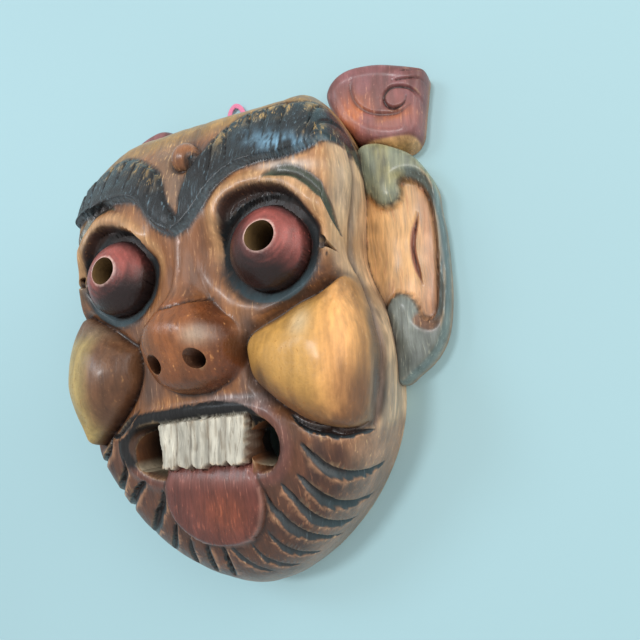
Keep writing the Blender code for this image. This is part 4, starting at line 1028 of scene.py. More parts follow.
def paint_wood(coat, x, y, z, flat_x, flat_y):
    """Stained wood all over the face, lighter on the temples and darker in the beard."""
    big = lattice_noise(x / 13, y / 24, z / 13, 31)
    fine = lattice_noise(x / 4, y / 11, z / 4, 32)
    coat.lay(0.7 * smoothstep(0.45, 0.75, big), WOOD_DARK, WOOD_MID)
    coat.lay(0.5 * smoothstep(0.5, 0.8, fine), PURPLE_BROWN)
    share = np.hypot(flat_x, flat_y)
    temple = smoothstep(42, 52, x) * smoothstep(16, 28, y) * (1 - smoothstep(62, 70, y))
    coat.lay(0.85 * temple, srgb(200, 148, 98), WOOD_PALE, wear=0.4)
    coat.lay(0.5 * temple * smoothstep(0.45, 0.7, fine), srgb(158, 108, 74))
    left = smoothstep(46, 56, -x) * smoothstep(16, 28, y) * (1 - smoothstep(62, 70, y))
    coat.lay(0.7 * left, srgb(140, 112, 68), srgb(176, 148, 100))
    forehead = smoothstep(80, 90, y)
    coat.lay(0.8 * forehead, OLIVE_TAN, srgb(206, 172, 112), wear=0.4)
    coat.lay(0.5 * forehead * smoothstep(0.4, 0.7, fine), srgb(118, 84, 56))
    wall = smoothstep(76, 88, share) * (1 - smoothstep(80, 90, y))
    tan = srgb(230, 192, 152) * (1 - 0.5 * smoothstep(-36, -66, y))[:, None]
    coat.lay(0.92 * wall * (x > 0), tan, WOOD_PALE, grain=0.95)
    coat.lay(0.6 * wall * (x < 0), srgb(134, 96, 60), OLIVE_TAN, grain=0.9)
    coat.lay(0.5 * wall * (x > 0) * smoothstep(0.5, 0.7, fine), srgb(140, 118, 102))
    beard = smoothstep(-36, -50, y)
    coat.lay(0.9 * beard, srgb(64, 37, 28), srgb(128, 80, 54), wear=0.3)
    coat.lay(0.5 * beard * smoothstep(0.5, 0.8, big), srgb(124, 74, 44))
    coat.lay(0.5 * beard * smoothstep(0.55, 0.75, fine), srgb(54, 30, 24))
    fringe = beard * smoothstep(80, 92, share) * np.where(x > 0, 1, 0.6)
    coat.lay(0.7 * fringe, srgb(150, 116, 92), WOOD_LIGHT)
    upper = beard * smoothstep(-66, -48, y) * smoothstep(58, 70, flat_x)
    coat.lay(0.8 * upper, srgb(176, 132, 100), WOOD_PALE)
    coat.lay(0.6 * spot(x, y, "between_the_eyes"), srgb(132, 84, 52), srgb(190, 136, 88))
    coat.lay(0.7 * spot(x, y, "nose_bridge"), srgb(132, 90, 64), srgb(182, 138, 104), wear=0.42)
    coat.lay(0.65 * spot(flat_x, flat_y, "temple_edge"), srgb(124, 88, 66))
    vee = bell(x, -6 - 0.3 * (y - 60), 10) * smoothstep(46, 54, y) * (1 - smoothstep(78, 90, y))
    coat.lay(0.7 * vee, srgb(126, 104, 84), WOOD_PALE, wear=0.45)
    coat.lay(0.9 * spot(x, y, "bridge_shadow") * smoothstep(0.25, 0.6, fine), srgb(34, 22, 20))
    coat.lay(0.5 * spot(x, y, "inner_socket"), srgb(176, 128, 84), WOOD_PALE)


def paint_features(coat, x, y, z, flat_x, flat_y):
    """Snout, cheeks and the soft furrows between them, stained and darkened with painted shade."""
    fine = lattice_noise(x / 3, y / 9, z / 3, 33)
    side = snout_side(x, y)
    snout = smoothstep(-25.5, -24, y) * (1 - smoothstep(8, 14, y)) * smoothstep(1.12, 0.9, side)
    coat.lay(snout, srgb(148, 88, 46), srgb(202, 140, 84), wear=0.3, even=0.5, rough=0.3)
    coat.lay(0.75 * snout * smoothstep(-8, -22, y), srgb(88, 50, 28))
    coat.lay(0.85 * snout * smoothstep(0.35, 0.95, side) * (x > 0), srgb(86, 46, 28))
    coat.lay(0.85 * snout * smoothstep(0.45, 0.95, side) * (x < 0), srgb(82, 54, 34))
    coat.lay(0.5 * snout * smoothstep(0.5, 0.75, fine), srgb(120, 66, 34))
    coat.lay(0.7 * spot(x, y, "snout_left"), srgb(84, 58, 38))
    coat.lay(0.55 * spot(x, y, "snout_glint"), srgb(220, 198, 174), WOOD_PALE, rough=0.28)
    # Painted shadow: a near-black line under the snout's lower edge
    coat.lay(0.9 * bell(y, -25.0, 1.1) * smoothstep(1.05, 0.85, side), STAIN_AND_SHADE)
    lip = smoothstep(-35, -32, y) * (1 - smoothstep(-26, -24.5, y))
    lip = lip * (1 - smoothstep(28, 36, np.abs(x)))
    coat.lay(0.9 * lip * smoothstep(12, -6, x), srgb(150, 98, 56), srgb(206, 158, 102), grain=1.0,
             wear=0.4, even=0.0)
    # Right half of the upper lip in grey-violet: its purple-brown paint with a painted sheen
    coat.lay(0.9 * lip * smoothstep(-6, 12, x), srgb(126, 108, 104), srgb(190, 180, 178), grain=1.0,
             wear=0.35, even=0.0)
    inside = cheek_inside(x, y)
    right = x > 0
    puff = smoothstep(-0.5, 2.0, inside)
    coat.lay(puff * right, OCHRE, OCHRE_FLECK, wear=0.24, grain=0.3, even=0.9, rough=0.5)
    coat.lay(0.5 * spot(x, y, "cheek_glint"), srgb(228, 212, 178), OCHRE_FLECK)
    coat.lay(0.8 * puff * right * smoothstep(50, 64, x), srgb(236, 170, 104), WOOD_PALE, even=0.2,
             grain=0.8, wear=0.35)
    rim = smoothstep(15.0, 1.5, inside + 3.5 * (fine - 0.5)) * right
    low = smoothstep(-6, -28, y)
    coat.lay(0.85 * puff * rim * low, srgb(92, 50, 30), srgb(150, 92, 44))
    coat.lay(0.55 * puff * smoothstep(4.5, 0.5, inside) * right, srgb(118, 74, 40))
    top_edge = bell(inside, 3.0, 2.5) * smoothstep(2, 10, y) * right
    coat.lay(0.6 * top_edge * smoothstep(0.35, 0.6, fine), srgb(120, 78, 40))
    left = puff * ~right
    coat.lay(0.9 * left, srgb(122, 84, 56), srgb(176, 130, 82), wear=0.25, even=0.4)
    coat.lay(0.5 * left * smoothstep(0.45, 0.7, fine), srgb(88, 54, 36))
    coat.lay(0.9 * left * smoothstep(-47, -56, x) * (1 - smoothstep(2, 10, y)),
             srgb(182, 160, 100), srgb(112, 84, 40), wear=0.45, even=0.9)
    coat.lay(0.75 * left * smoothstep(-2, 6, y), srgb(112, 92, 76), srgb(170, 146, 120))
    # Stain and painted shade in the crease round each cheek, darker towards the bottom
    furrow = bell(inside, -0.7, 1.3)
    coat.lay(furrow * (0.55 + 0.35 * low), STAIN_AND_SHADE, WOOD_DARK, wear=0.2)
    valley = smoothstep(-34, -24, y) * (1 - smoothstep(0, 12, y)) * (side > 1)
    valley = valley * np.where(x > 0, bell(x, 24, 3.5), bell(x, -27, 4.5)) * smoothstep(0.5, -1, inside)
    coat.lay(0.75 * spot(x, y, "cheek_corner"), srgb(66, 42, 24))
    coat.lay(0.5 * spot(x, y, "left_cheek_foot"), srgb(74, 52, 36))
    coat.lay(0.8 * valley, srgb(84, 68, 62), srgb(160, 138, 126), wear=0.35)
    points, width, _ = TEMPLE_GROOVE
    d = line_field(np.abs(flat_x), flat_y, smooth_line(points), 3 * width)[0]
    coat.lay(0.85 * bell(d, 0, 1.3), srgb(102, 82, 70), srgb(156, 128, 112), wear=0.3)
    crease = line_field(x, y, smooth_line(SNOUT_CREASE[0]), 4)[0]
    coat.lay(0.9 * (1 - smoothstep(0.2, 0.8, crease)), STAIN_AND_SHADE)
    r = np.hypot(x - BUMP_CENTRE[0], y - BUMP_CENTRE[1])
    coat.lay(1 - smoothstep(5.5, 6.5, r), srgb(150, 98, 62), srgb(206, 156, 104), rough=0.3)
    # Painted shade on the lower half of the round boss
    coat.lay(0.6 * (1 - smoothstep(3, 6.5, r)) * smoothstep(0, -4, y - BUMP_CENTRE[1]), WOOD_DARK)
    coat.lay(0.75 * bell(r, 6.9, 0.8), srgb(70, 50, 42))


def paint_eyes(coat, x, y, z, flat_x, flat_y):
    """Lids, dark rings, red balls with a lighter rim round the pupil, and corner notches."""
    r, up = around_eye(x, y)
    lid = lid_inside(x, y)
    fine = lattice_noise(x / 1.6, y / 1.6, z / 4, 42)
    above = smoothstep(-0.35, 0.2, up)
    # Painted highlight on the skin above the right eye
    coat.lay(0.5 * spot(x, y, "above_the_eye_highlight"), srgb(200, 180, 162))
    coat.lay(0.8 * spot(x, y, "brow_glint"), srgb(232, 224, 214), WOOD_PALE, rough=0.33)
    coat.lay(0.8 * spot(x, y, "left_eye_corner"), srgb(66, 60, 56))
    coat.lay(0.65 * above * bell(lid, -3.6, 2.6), srgb(206, 160, 112), WOOD_PALE, rough=0.33, wear=0.5)
    wall = above * smoothstep(-0.8, 0.4, lid)
    coat.lay(wall, srgb(58, 32, 22), srgb(104, 66, 40), wear=0.3, grain=0.9, rough=0.85)
    # Painted shade deep in the lid recess, next to the ring
    coat.lay(wall * smoothstep(24.5, 20.5, r), srgb(24, 15, 13))
    coat.lay(0.8 * bell(lid, -0.3, 0.7) * above, srgb(52, 30, 24))
    below = 1 - above
    coat.lay(0.65 * below * smoothstep(26, 21, r) * smoothstep(0.3, 0.6, fine), srgb(74, 50, 38))
    coat.lay(0.8 * below * bell(r, 21.4, 1.1), srgb(44, 35, 30))
    ring = smoothstep(21.2, 20.6, r + 0.5 * (fine - 0.5))
    coat.lay(ring, RING, RING_WORN_AND_LIT, wear=0.12, grain=0.5, rough=0.75, even=0.6, edge=0.0)
    # Painted light: the lower part of each ring turned blue-grey
    coat.lay(0.5 * ring * smoothstep(-0.2, -0.9, up), RING_WORN_AND_LIT)
    ball = smoothstep(16.9, 16.5, r)
    pupil = np.where((x > 0)[:, None], PUPIL_RIGHT, PUPIL_LEFT)
    dx, dy = (x - pupil[:, 0]) * np.sign(x), y - pupil[:, 1]
    rp = np.hypot(dx, dy)
    turn = np.arctan2(dy, dx * np.sign(x))
    strokes = lattice_noise(rp / 0.75, turn * 1.4 + 9, rp * 0, 43)
    # Painted light and shade on each ball: lit above and to the outer side, shaded below and, on the
    # right eye, towards the nose
    lit = smoothstep(-9.5, 3.5, 0.9 * r * up + 0.3 * dx + 3.0 * (strokes - 0.5))
    lit = lit * (1 - 0.7 * smoothstep(-2, -9, dx) * (x > 0))
    red = BALL_SHADED + (BALL_LIT - BALL_SHADED) * (lit * (0.55 + 0.45 * strokes))[:, None]
    coat.lay(ball, red, red * 1.4, wear=0.3, grain=0.3, even=0.9, rough=0.4)
    # Painted shade along the top of each ball, under the lid
    fringe = smoothstep(12.0, 15.5, r) * ball * smoothstep(0.1, 0.8, up)
    coat.lay(0.6 * fringe, srgb(40, 34, 38), RING_WORN_AND_LIT, rough=0.6)
    coat.lay(0.85 * smoothstep(15.0, 16.4, r) * ball, srgb(24, 12, 15))
    coat.lay(0.9 * bell(rp, 6.1, 0.35) * (0.6 + 0.4 * smoothstep(-3, 3, dy)), BALL_RIM)
    notch = notch_inside(flat_x, flat_y)
    coat.lay(smoothstep(-0.1, 0.5, notch), srgb(36, 18, 14), srgb(62, 34, 24), wear=0.2)
    nail = np.hypot(np.abs(flat_x) - NAIL_HOLE[0], flat_y - NAIL_HOLE[1])
    coat.lay(0.9 * (1 - smoothstep(0.6, 1.0, nail)), STAIN_AND_SHADE)
    points, width, _ = LID_CRESCENT
    d, share, side = line_field(np.abs(flat_x), flat_y, smooth_line(points), width)
    half = 0.5 * width * pointed(share, 1.7, 0.02)
    coat.lay(smoothstep(half + 0.1, half - 0.4, d), CRESCENT_OLIVE, srgb(116, 116, 88), wear=0.2)
    coat.lay(0.8 * bell(d, half, 0.35) * (side > 0) * (share > 0.02), STAIN_AND_SHADE)
    under_eye = bell(y - 0.35 * (x - 40), 6.5, 5.0) * smoothstep(22, 30, x)
    under_eye = under_eye * (1 - smoothstep(56, 62, x))
    lines = lattice_noise((y - 0.35 * x) / 1.1, x / 12, x * 0, 44)
    coat.lay(0.7 * under_eye * smoothstep(0.5, 0.7, lines) * (r > 21.5), srgb(84, 54, 36))


def paint_locks(coat, x, y, *_):
    """Blue-black brow locks, worn to yellow along their upper edge."""
    inside = lock_inside(x, y)
    hair = smoothstep(-1.1, -0.7, inside)
    coat.lay(hair, HAIR, HAIR_SCRATCH, wear=0.3, grain=0.8, even=0.0, rough=0.33, height=0.8, edge=0.0)
    side, _ = lock_place(x, y)
    upper = lock_edge(x, y, LOCK_UPPER, 16.0)
    patchy = lattice_noise(x / 6, y / 8, x * 0, 41)
    hairs = lattice_noise(x / 0.9, y / 5, x * 0, 45)
    edge = smoothstep(11.0, 1.0, upper) * smoothstep(0.15, 0.55, patchy) * np.where(x > 0, 1.0, 0.75)
    end = spot(side, y, "lock_end") * (x > 0)
    worn = np.clip(edge + end, 0, 1) * hair
    coat.under += (HAIR_WORN - coat.under) * np.clip(2.2 * worn, 0, 1)[:, None]
    coat.wear += (0.5 - coat.wear) * worn
    coat.lay(0.7 * worn * smoothstep(0.55, 0.75, hairs), HAIR_WORN)
    cuts = np.clip(-strand_cuts(x, y) / 0.7, 0, 1)
    coat.lay(0.9 * cuts * hair, srgb(14, 19, 23))
    # Painted highlight: a pale blue line along the lower edge of each lock
    lower = lock_edge(x, y, LOCK_LOWER, 4.0)
    coat.lay(0.5 * hair * bell(lower, 0.3, 0.45), srgb(132, 152, 162), rough=0.28)
    sheen = spot(x, y, "lock_sheen") * (x > 0) * hair
    coat.lay(0.8 * sheen * smoothstep(0.25, 0.7, hairs), srgb(132, 178, 206), rough=0.4)
    coat.lay(0.85 * bell(inside, -1.4, 0.5), STAIN_AND_SHADE, edge=0.0)


def paint_mouth(coat, x, y, z, *_):
    """Black upper lip line, reddish lips, brown cavities, rough teeth and the tongue."""
    mouth = mouth_inside(x, y)
    teeth = teeth_inside(x, y)
    tongue = tongue_inside(x, y)
    fine = lattice_noise(x / 1.2, y / 5, z / 3, 52)
    lips = smoothstep(-7, -3.5, mouth)
    corner = smoothstep(18, 30, x)
    coat.lay(0.85 * lips * corner, LIP_RED, srgb(170, 128, 112), wear=0.35)
    coat.lay(0.8 * lips * corner * smoothstep(-4, -0.5, mouth) * smoothstep(-40, -46, y),
             srgb(54, 26, 25))
    lower = smoothstep(-50, -54, y) * lips
    coat.lay(0.75 * lower, srgb(98, 58, 48), srgb(176, 130, 108))
    inner = smoothstep(-0.4, 0.5, mouth)
    # Painted shade: the mouth's cavities darken with depth, and the part left of the teeth is kept
    # mostly dark
    deep = smoothstep(57, 47, z)
    hollow = CAVITY + (CAVITY_SHADE - CAVITY) * np.maximum(deep, 0.7 * (x < -23))[:, None]
    coat.lay(inner, hollow, CAVITY, wear=0.25, rough=0.5, even=0.3, grain=0.9)
    pale = inner * smoothstep(-49, -52.5, y) * (x < -20)
    coat.lay(0.5 * pale, srgb(150, 138, 112))
    thick = through(x, [(-46, 6.6), (-38, 6.2), (-25, 5.6), (-7, 6.2), (10, 6.2), (18, 4.8), (23, 2.6),
                        (27, 0.4)])
    reach = np.where(x < -33, smoothstep(-56, -52, y), smoothstep(-47, -44, y))
    band = smoothstep(-thick - 0.2, -thick + 0.3, mouth + 0.8 * (fine - 0.5))
    band = band * (1 - smoothstep(0.0, 0.8, mouth) * (x < -23))
    coat.lay(band * reach * (x < 27) * (z > 50), LIP_BLACK, srgb(60, 62, 68), wear=0.08, rough=0.8,
             grain=0.8)
    front = (z > 49) * smoothstep(-0.5, 0.3, teeth)
    coat.lay(front, TOOTH, TOOTH_DIRT, wear=0.3, grain=1.0, even=0.0, rough=0.66, height=1.0)
    gaps = sum(bell(x - gap - 0.03 * (y + 45), 0, 0.5) for gap in TOOTH_GAPS)
    coat.lay(0.6 * gaps * front, TOOTH_DIRT)
    coat.lay(0.5 * front * smoothstep(0.6, 0.85, fine), srgb(128, 112, 90))
    coat.lay(0.7 * front * bell(teeth, 0.3, 0.8) * (y < -46), srgb(120, 92, 72))
    side_wall = (teeth > -1) * (z < TEETH_HEIGHT - 3.0) * (x > 10) * (z > 44.5) * (y > -55)
    coat.lay(0.8 * side_wall, srgb(96, 60, 36))
    flesh = smoothstep(-0.3, 0.4, tongue) * (teeth < 0)
    coat.lay(flesh, TONGUE_RED, srgb(158, 92, 74), wear=0.28, grain=0.9, even=0.1, rough=0.36)
    coat.lay(0.75 * spot(x, y, "tongue_glow") * flesh, srgb(134, 66, 40), TONGUE_ORANGE, wear=0.45)
    # Painted sheen on the upper part of the tongue
    coat.lay(0.5 * flesh * smoothstep(-63, -56, y), srgb(138, 88, 80), srgb(190, 150, 140))
    coat.lay(0.55 * bell(tongue, 0.3, 0.5) * (y < -60), TONGUE_EDGE)
    coat.lay(0.8 * bell(tongue, -1.0, 0.6) * (mouth < -1), STAIN_AND_SHADE)


def paint_beard(coat, x, y, _, flat_x, flat_y):
    """Blue-grey faces of the beard grooves with a dark deep line and a worn lower edge."""
    tongue = tongue_inside(x, y)
    mouth = mouth_inside(x, y)
    clear = (1 - smoothstep(-1.6, -0.4, tongue)) * (1 - smoothstep(-2.5, -1.5, mouth))
    ragged = lattice_noise(flat_x / 1.1, flat_y / 3.0, x * 0, 53) - 0.5
    for cut in BEARD:
        across, taper, steep = groove_place(flat_x, flat_y, cut)
        shape = clear * smoothstep(0.02, 0.3, taper)
        torn = across + 0.5 * ragged * (across > 0.5)
        face = smoothstep(0.95, 0.75, torn) * shape
        coat.lay(0.8 * shape * bell(torn, 1.04, 0.15) * ~steep, GROOVE_WORN, WOOD_PALE, wear=0.5)
        coat.lay(face * ~steep, GROOVE_PAINT, srgb(116, 130, 136), wear=0.2, grain=0.9, rough=0.45)
        coat.lay(smoothstep(0.4, 0.15, across) * shape, GROOVE_DEEP)
        coat.lay(smoothstep(1.3, 0.9, across) * steep * shape, srgb(24, 24, 26))


def paint_ear(coat, x, y, z, *_):
    """Grey-green ear frame around a light streaked panel with a reddish slit."""
    panel = area_field(x, y, smooth_line(EAR_PANEL, closed=True), 8.0)
    tone = lattice_noise(x / 7, y / 12, x * 0, 51)
    fine = lattice_noise(x / 1.5, y / 4, x * 0, 54)
    coat.lay(np.ones(len(x)), EAR_GREY, srgb(172, 176, 160), wear=0.3, grain=0.9, even=0.15, rough=0.45)
    coat.lay(smoothstep(30, 62, y), EAR_GREEN, srgb(186, 180, 136))
    coat.lay(0.75 * smoothstep(0.45, 0.75, tone) * smoothstep(58, 68, y), srgb(170, 162, 110))
    coat.lay(0.4 * smoothstep(0.55, 0.75, fine), srgb(88, 96, 88))
    coat.lay(0.8 * spot(x, y, "ear_lobe"), EAR_DARK)
    coat.lay(0.8 * smoothstep(7.5, 4.0, z), srgb(150, 112, 90), WOOD_LIGHT)
    d, share, _ = line_field(x, y, smooth_line(EAR_GROOVE[0]), 8)
    channel = smoothstep(3.4, 2.2, d) * smoothstep(0.0, 0.08, share)
    coat.lay(0.85 * channel, srgb(92, 108, 110), srgb(176, 196, 200), wear=0.3)
    rough_end = smoothstep(0.86, 0.95, share) * smoothstep(4, 2.4, d)
    coat.lay(0.85 * rough_end, srgb(124, 86, 62), WOOD_LIGHT, rough=0.7, height=1.0)
    wood = smoothstep(-0.2, 0.5, panel)
    coat.lay(wood, EAR_WOOD, EAR_STREAK, wear=0.36, grain=1.0, even=0.0, rough=0.45)
    coat.lay(0.5 * wood * smoothstep(24, 4, y), srgb(204, 148, 116))
    coat.lay(0.55 * wood * smoothstep(82, 88, x), srgb(168, 130, 102))
    coat.lay(0.45 * wood * smoothstep(70, 62, x), srgb(214, 158, 96))
    coat.lay(0.4 * wood * bell(x, 86, 4), srgb(190, 132, 104))
    coat.lay(0.75 * bell(panel, -0.2, 0.5), srgb(82, 66, 54))
    d, share, _ = line_field(x, y, smooth_line(EAR_SLIT[0]), 5)
    half = 1.3 * pointed(share, 1.6)
    coat.lay(0.85 * smoothstep(half + 0.5, half - 0.5, d), SLIT_RED, srgb(176, 120, 104))


def paint_scroll(coat, x, y, z, *_):
    """Red-brown ornament with orange rubbed through its convex band."""
    tone = lattice_noise(x / 8, y / 8, x * 0, 61)
    fine = lattice_noise(x / 1.4, y / 5, x * 0, 62)
    coat.lay(np.ones(len(x)), SCROLL_RED, srgb(178, 126, 116), wear=0.3, grain=0.5, even=0.3,
             rough=0.42)
    glow = spot(x, y, "scroll_glow")
    glow = np.maximum(glow, 0.85 * spot(x, y, "scroll_foot"))
    coat.lay(0.9 * glow, SCROLL_ORANGE, srgb(232, 164, 108), wear=0.45)
    coat.lay(0.5 * smoothstep(0.5, 0.8, tone), srgb(150, 98, 102))
    coat.lay(0.35 * smoothstep(0.6, 0.8, fine), srgb(132, 82, 78))
    boss = np.hypot(x - 78.5, y - 102)
    coat.lay(0.7 * smoothstep(4.6, 3.6, boss), srgb(140, 84, 78))
    for points, width, depth in SCROLL_CUTS + SCROLL_LINES:
        d, share, _ = line_field(x, y, smooth_line(points), 5)
        half = 0.22 * width * pointed(share)
        dark = 0.85 * smoothstep(9.0, 5.5, boss) if depth > 1.0 else 0.45
        coat.lay(dark * smoothstep(half + 0.4, half - 0.2, d), SCROLL_LINE)
    coat.lay(smoothstep(86.5, 85, y + 0.12 * (x - 62)), srgb(206, 160, 108), WOOD_PALE, grain=1.0)
    coat.lay(0.8 * bell(y + 0.12 * (x - 62), 86.6, 0.5), srgb(120, 72, 62))
    coat.lay(0.6 * smoothstep(5.0, 1.0, z), srgb(150, 104, 84))


def paint_inside(coat, kind, y, z):
    """Bare wood behind the face and in the drilled holes."""
    bare = np.isin(kind, (HOLLOW, BACK))
    coat.lay(bare * 1.0, BARE_WOOD, BARE_STREAK, wear=0.4, grain=0.9, even=0.0, rough=0.75)
    coat.lay((kind == CORD_HOLE) * 1.0, srgb(120, 82, 50), BARE_STREAK, rough=0.8)
    # Painted shade: the pupil holes darken with depth
    deep = smoothstep(66, 56, z)
    brown = srgb(122, 96, 58) + (srgb(10, 7, 5) - srgb(122, 96, 58)) * deep[:, None]
    coat.lay((kind == PUPIL) * 1.0, brown, brown * 1.3, wear=0.3, grain=0.6, rough=0.7)
    # Painted shade: the mouth's side holes darken with depth
    dark = CAVITY + (CAVITY_SHADE - CAVITY) * smoothstep(54, 44, z)[:, None]
    coat.lay((kind == SIDE_HOLE) * 1.0, dark, CAVITY, wear=0.15, rough=0.7)
    # Painted light: a pale patch at the bottom of each side hole, standing in for the lit hollow behind
    # it
    coat.lay(0.8 * (kind == SIDE_HOLE) * smoothstep(-50, -53.5, y), srgb(176, 164, 140))
    coat.lay((kind == NOSTRIL) * 1.0, srgb(92, 56, 34), srgb(158, 116, 80), rough=0.6)
    # Painted shade deep in the nostrils
    coat.lay(0.9 * (kind == NOSTRIL) * smoothstep(68, 65, z), srgb(24, 14, 10))


PAINTERS = {FACE: (paint_wood, paint_features, paint_eyes, paint_locks, paint_mouth, paint_beard),
            EAR: (paint_ear,), SCROLL: (paint_scroll,)}


def write_coat(mesh):
    """Work out the paint at every corner from its drawing place and keep it as attributes."""
    corner_vertex = np.zeros(len(mesh.loops), np.int64)
    mesh.loops.foreach_get("vertex_index", corner_vertex)
    sizes = np.zeros(len(mesh.polygons), np.int64)
    mesh.polygons.foreach_get("loop_total", sizes)
    kinds = np.zeros(len(mesh.polygons), np.int64)
    mesh.polygons.foreach_get("material_index", kinds)
    corner_kind = np.repeat(kinds, sizes)
    _, first, back = np.unique(corner_vertex * 16 + corner_kind, return_index=True,
                               return_inverse=True)
    drawing = []
    for layer in ("plan", "flat"):
        values = np.zeros(len(mesh.loops) * 2)
        mesh.uv_layers[layer].data.foreach_get("uv", values)
        drawing.append(values.reshape(-1, 2)[first].T)
    (x, y), (flat_x, flat_y) = drawing
    vertex, kind = corner_vertex[first], corner_kind[first]
    z = read_points(mesh)[vertex, 2] / MM
    coat = Coat(len(first))
    for number, painters in PAINTERS.items():
        chosen = kind == number
        part = Coat(int(chosen.sum()))
        places = [a[chosen] for a in (x, y, z, flat_x, flat_y)]
        for painter in painters:
            painter(part, *places)
        for name, values in vars(part).items():
            getattr(coat, name)[chosen] = values
    paint_inside(coat, kind, y, z)
    outer = np.isin(kind, (FACE, EAR, SCROLL))
    fine, broad = concavity(mesh, 2)[vertex], concavity(mesh, 18)[vertex]
    # Stain and painted shade: broad and fine hollows laid darker
    coat.lay(0.5 * outer * smoothstep(0.2, 0.9, broad), WOOD_DARK * 0.55)
    coat.lay(0.8 * outer * smoothstep(0.35, 1.0, fine), STAIN_AND_SHADE)
    coat.lay(0.3 * outer * coat.edge * smoothstep(0.5, 1.0, -fine), WOOD_PALE)
    mottle = lattice_noise(x / 1.3, y / 4.5, z / 1.3, 71) - 0.5
    strokes = lattice_noise(x / 0.7, y / 7.0, z / 2.0, 72) - 0.5
    coat.top *= (1 + 0.3 * mottle + 0.3 * coat.grain * strokes)[:, None]
    layers = {"paint": np.column_stack([coat.top, WEAR_SHARE * coat.wear]),
              "under": np.column_stack([coat.under, coat.grain]),
              "finish": np.column_stack([coat.rough, coat.even, coat.height, coat.grain * 0 + 1])}
    for name, values in layers.items():
        data = mesh.color_attributes.new(name, "FLOAT_COLOR", "CORNER").data
        data.foreach_set("color", np.clip(values, 0, 1)[back].astype(np.float32).ravel())


class Graph:
    """Short way to lay out a material's nodes."""

    def __init__(self, material):
        material.use_nodes = True
        self.tree = material.node_tree
        self.tree.nodes.clear()
        self.column = 0

    def node(self, kind, settings=None, **inputs):
        """Add a node, set its options, then its inputs by name or position."""
        node = self.tree.nodes.new(kind)
        self.column += 1
        node.location = (self.column * 180, -(self.column % 4) * 160)
        for name, value in (settings or {}).items():
            setattr(node, name, value)
        for key, value in inputs.items():
            name = key.replace("_", " ") if not key.startswith("at") else int(key[2:])
            self.feed(node.inputs[name], value)
        return node

    def feed(self, socket, value):
        """Link an output to a socket, or set the socket's own value."""
        if isinstance(value, bpy.types.NodeSocket):
            self.tree.links.new(value, socket)
        else:
            socket.default_value = value

    def math(self, operation, a, b=0.0, clamp=False):
        """Output of a maths node."""
        settings = {"operation": operation, "use_clamp": clamp}
        return self.node("ShaderNodeMath", settings, at0=a, at1=b).outputs[0]

    def between(self, value, low, high, start=0.0, end=1.0):
        """Smooth step of a value between two limits."""
        settings = {"interpolation_type": "SMOOTHSTEP"}
        node = self.node("ShaderNodeMapRange", settings, Value=value, From_Min=low, From_Max=high,
                         To_Min=start, To_Max=end)
        return node.outputs[0]

    def mix(self, amount, a, b):
        """Mix of two colours."""
        node = self.node("ShaderNodeMix", {"data_type": "RGBA"})
        for index, value in ((0, amount), (6, a), (7, b)):
            self.feed(node.inputs[index], value)
        return node.outputs[2]

    def noise(self, place, stretch, scale, detail=3.0, rough=0.6):
        """Noise on coordinates stretched by three factors."""
        scaled = self.node("ShaderNodeVectorMath", {"operation": "MULTIPLY"}, at0=place, at1=stretch)
        node = self.node("ShaderNodeTexNoise", None, Vector=scaled.outputs[0], Scale=scale,
                         Detail=detail, Roughness=rough)
        return node.outputs[0]

    def surface(self, bump=None, **inputs):
        """Principled surface, bumped by a strength, a distance and a height field."""
        if bump:
            strength, distance, height = bump
            inputs["Normal"] = self.node("ShaderNodeBump", None, Strength=strength,
                                         Distance=distance, Height=height).outputs[0]
        shader = self.node("ShaderNodeBsdfPrincipled", None, **inputs)
        output = self.node("ShaderNodeOutputMaterial")
        self.tree.links.new(shader.outputs[0], output.inputs["Surface"])

    def spread(self, value):
        """Stretch a noise value so that it fills the range from 0 to 1."""
        return self.node("ShaderNodeMapRange", None, Value=value, From_Min=0.32,
                         From_Max=0.68).outputs[0]


